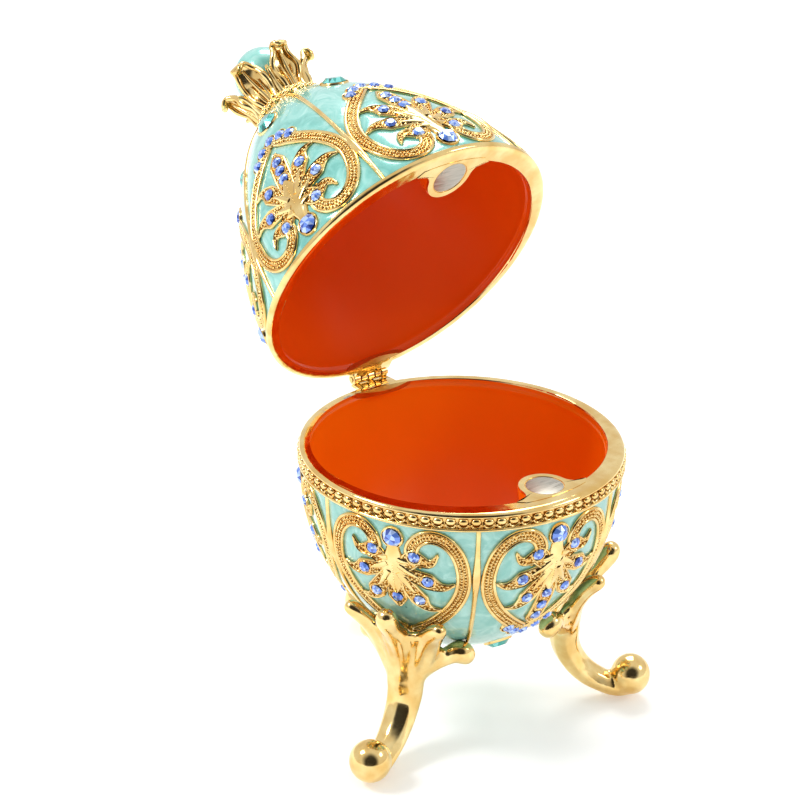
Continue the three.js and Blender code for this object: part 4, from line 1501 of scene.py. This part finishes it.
def make_crown():
    random.seed(3)
    leaf = leaf_part()
    turns = [at(0, 0, 0, np.array(Matrix.Rotation(math.pi * (2 * k + 1) / 6, 3, "Z"))) for k in range(6)]
    between = [at(0, 0, 0, np.array(Matrix.Rotation(math.pi * k / 3, 3, "Z"))) for k in range(6)]
    parts = [copied(leaf, turns)]
    # A narrow sepal rises between each two leaves.
    sepal = ring_section(0.75, 0.6)
    spine = [(5.2, 40.4), (5.7, 42.2), (6.3, 44.0), (7.2, 45.4), (7.9, 45.7)]
    parts.append(copied(upright(drawn(spine, sepal, radii=[1.1, 1.0, 0.8, 0.65, 0.5], smoothness=5)), between))
    bpy.data.objects.remove(sepal)
    parts.append(
        spun(
            [
                (0, 37.6),
                (6.7, 37.6),
                (7.1, 38.3),
                (7.0, 39.2),
                (6.1, 40.2),
                (5.2, 41.0),
                (4.9, 42.6),
                (5.0, 44.2),
                (4.4, 44.9),
                (0, 44.9),
            ],
            60,
        )
    )
    places = []
    for height, radius, count in ((38.2, 7.1, 46), (38.95, 7.15, 46), (39.65, 6.7, 42), (40.3, 6.1, 38), (40.9, 5.5, 34)):
        for i in range(count):
            angle = 2 * math.pi * (i + random.uniform(-0.3, 0.3) + 0.5 * (height > 39)) / count
            far = radius + random.uniform(-0.12, 0.12)
            size = random.uniform(0.75, 1.2)
            place = at(far * math.cos(angle), far * math.sin(angle), height + random.uniform(-0.15, 0.15))
            place[:3, :3] *= size
            places.append(place)
    bump = orb(0.46, 8, 6)
    parts.append(copied(bump, places))
    made("crown_calyx", joined(parts), lid_place, [cast_gold], "lid", "gold", angle=60, replaces=("crown",))
    pearl = moved(orb(5.5, 64, 40), z=49.3)
    made("crown_pearl_ball", pearl, lid_place, [pale_aqua_pearl], "lid", "aqua_enamel", angle=80,
         replaces=("crown_ball",))


# Hinge

knuckle_count = 5
knuckle_radius = 1.0
knuckle_gap = 0.12
barrel_length = 7.7
pin_radius = 0.42
leaf_thickness = 0.45
leaf_drop = 1.4
leaf_inset = 3.9


def box_part(size, place):
    """A plate with its edges rounded over."""
    bpy.ops.object.select_all(action="DESELECT")
    bpy.ops.mesh.primitive_cube_add(size=1.0, location=(0, 0, 0))
    thing = bpy.context.object
    thing.scale = size
    bpy.ops.object.transform_apply(location=False, rotation=False, scale=True)
    bpy.ops.object.mode_set(mode="EDIT")
    bpy.ops.mesh.select_all(action="SELECT")
    bpy.ops.mesh.bevel(offset=min(size) * 0.25, segments=2, affect="EDGES")
    bpy.ops.object.mode_set(mode="OBJECT")
    return moved(taken(thing), *place)


def hinge_half(indices, side):
    pitch = barrel_length / knuckle_count
    leaf_top = -hinge_lift - 0.03 if side < 0 else -hinge_lift + closing_gap + leaf_thickness + 0.03
    level = leaf_top - leaf_thickness / 2
    clear = knuckle_radius + 0.25
    arm_from = 0 if side < 0 else pin_radius + 0.25
    parts = []
    for index in indices:
        middle = (index + 0.5 - knuckle_count / 2) * pitch
        half = (pitch - knuckle_gap) / 2
        edge = 0.12
        profile = [
            (pin_radius + 0.08, -half),
            (knuckle_radius - edge, -half),
            (knuckle_radius, -half + edge),
            (knuckle_radius, half - edge),
            (knuckle_radius - edge, half),
            (pin_radius + 0.08, half),
        ]
        points, faces = hoop(profile, 28)
        parts.append((points[:, [2, 1, 0]] * (1, 1, -1) + (middle, 0, 0), faces))
        parts.append(
            box_part(
                (pitch - knuckle_gap, clear + 0.3 - arm_from, leaf_thickness),
                (middle, -(clear + 0.3 + arm_from) / 2, level),
            )
        )
    parts.append(
        box_part((barrel_length, leaf_inset - clear, leaf_thickness), (0, -(leaf_inset + clear) / 2, level))
    )
    parts.append(
        box_part(
            (barrel_length - 1.4, leaf_thickness, leaf_drop),
            (0, -leaf_inset + leaf_thickness / 2, level + side * (leaf_drop / 2 - leaf_thickness / 2)),
        )
    )
    if side < 0:
        # The saddle under the barrel
        parts.append(box_part((barrel_length, 1.9, 0.35), (0, -0.75, -knuckle_radius - 0.3)))
    return joined(parts)


def make_hinge():
    cup_leaf = hinge_half([0, 2, 4], -1)
    made("cup_hinge_leaf", cup_leaf, hinge_cup_place, [bright_gold], "base", "gold", replaces=("hinge_leaf_cup",))
    lid_leaf = hinge_half([1, 3], 1)
    made("lid_hinge_leaf", lid_leaf, hinge_lid_place, [bright_gold], "lid", "gold", replaces=("hinge_leaf_lid",))
    half = barrel_length / 2
    profile = [(0, -half - 0.1), (pin_radius * 0.8, -half - 0.1), (pin_radius, -half), (pin_radius, half),
               (pin_radius * 0.8, half + 0.1), (0, half + 0.1)]
    points, faces = spun(profile, 20)
    rod = (points[:, [2, 1, 0]] * (1, 1, -1), faces)
    made("hinge_rod", rod, hinge_cup_place, [bright_gold], "base", "gold", replaces=("hinge_pin",))


# Studio


def make_studio():
    scene = bpy.context.scene
    scene.view_settings.view_transform = "Standard"
    bpy.ops.object.select_all(action="DESELECT")
    bpy.ops.mesh.primitive_plane_add(size=6.0, location=(0, 0, 0))
    floor = bpy.context.object
    floor.name = "floor"
    floor.data.materials.append(matt_paper("white_paper", "#f7f7f7"))
    world = bpy.data.worlds.new("studio")
    scene.world = world
    world.use_nodes = True
    tree = world.node_tree
    tree.nodes.clear()
    direction = add_node(tree, "ShaderNodeTexCoord").outputs["Generated"]
    back = Vector(
        (
            math.sin(camera_azimuth) * math.cos(camera_elevation),
            -math.cos(camera_azimuth) * math.cos(camera_elevation),
            math.sin(camera_elevation),
        )
    )
    towards = add_node(
        tree, "ShaderNodeVectorMath", {0: direction, 1: tuple(back)}, operation="DOT_PRODUCT"
    ).outputs["Value"]
    glow = add_node(
        tree,
        "ShaderNodeMapRange",
        {"Value": towards, "From Min": 0.62, "From Max": 0.9, "To Min": 0.88, "To Max": 0.04},
        interpolation_type="SMOOTHSTEP",
    ).outputs["Result"]
    # Only reflections see the dark side of the room. What lights the enamel is even, and the backdrop is white.
    path = add_node(tree, "ShaderNodeLightPath").outputs
    is_reflection = path["Is Glossy Ray"]
    even = add_node(
        tree, "ShaderNodeMath", {0: path["Is Camera Ray"], 1: 0.35, 2: 0.7}, operation="MULTIPLY_ADD"
    ).outputs[0]
    dimmed = add_node(
        tree,
        "ShaderNodeMapRange",
        {"Value": is_reflection, "From Min": 0.0, "From Max": 1.0, "To Min": even, "To Max": glow},
    ).outputs["Result"]
    background = add_node(tree, "ShaderNodeBackground", {"Color": (1, 1, 1, 1), "Strength": dimmed})
    add_node(tree, "ShaderNodeOutputWorld", {"Surface": background.outputs[0]})
    middle = Vector((axis_x, axis_y, 55)) * MM
    right = Vector((math.cos(camera_azimuth), math.sin(camera_azimuth), 0))
    up = back.cross(right)
    softboxes = [
        ("left_softbox", back * 0.35 - right * 0.55 + up * 0.5, 0.22, 3.0),
        ("right_softbox", back * 0.25 + right * 0.65 + up * 0.35, 0.2, 0.8),
        ("top_softbox", back * -0.2 + up * 0.9, 0.4, 3.4),
    ]
    for name, offset, size, power in softboxes:
        bpy.ops.object.light_add(type="AREA", location=middle + offset)
        light = bpy.context.object
        light.name = name
        light.data.shape = "SQUARE"
        light.data.size = size
        light.data.energy = power
        light.rotation_euler = (-offset).to_track_quat("-Z", "Y").to_euler()


add_camera()
make_studio()
make_shell("cup")
make_shell("lid")
make_legs()
make_crown()
make_hinge()
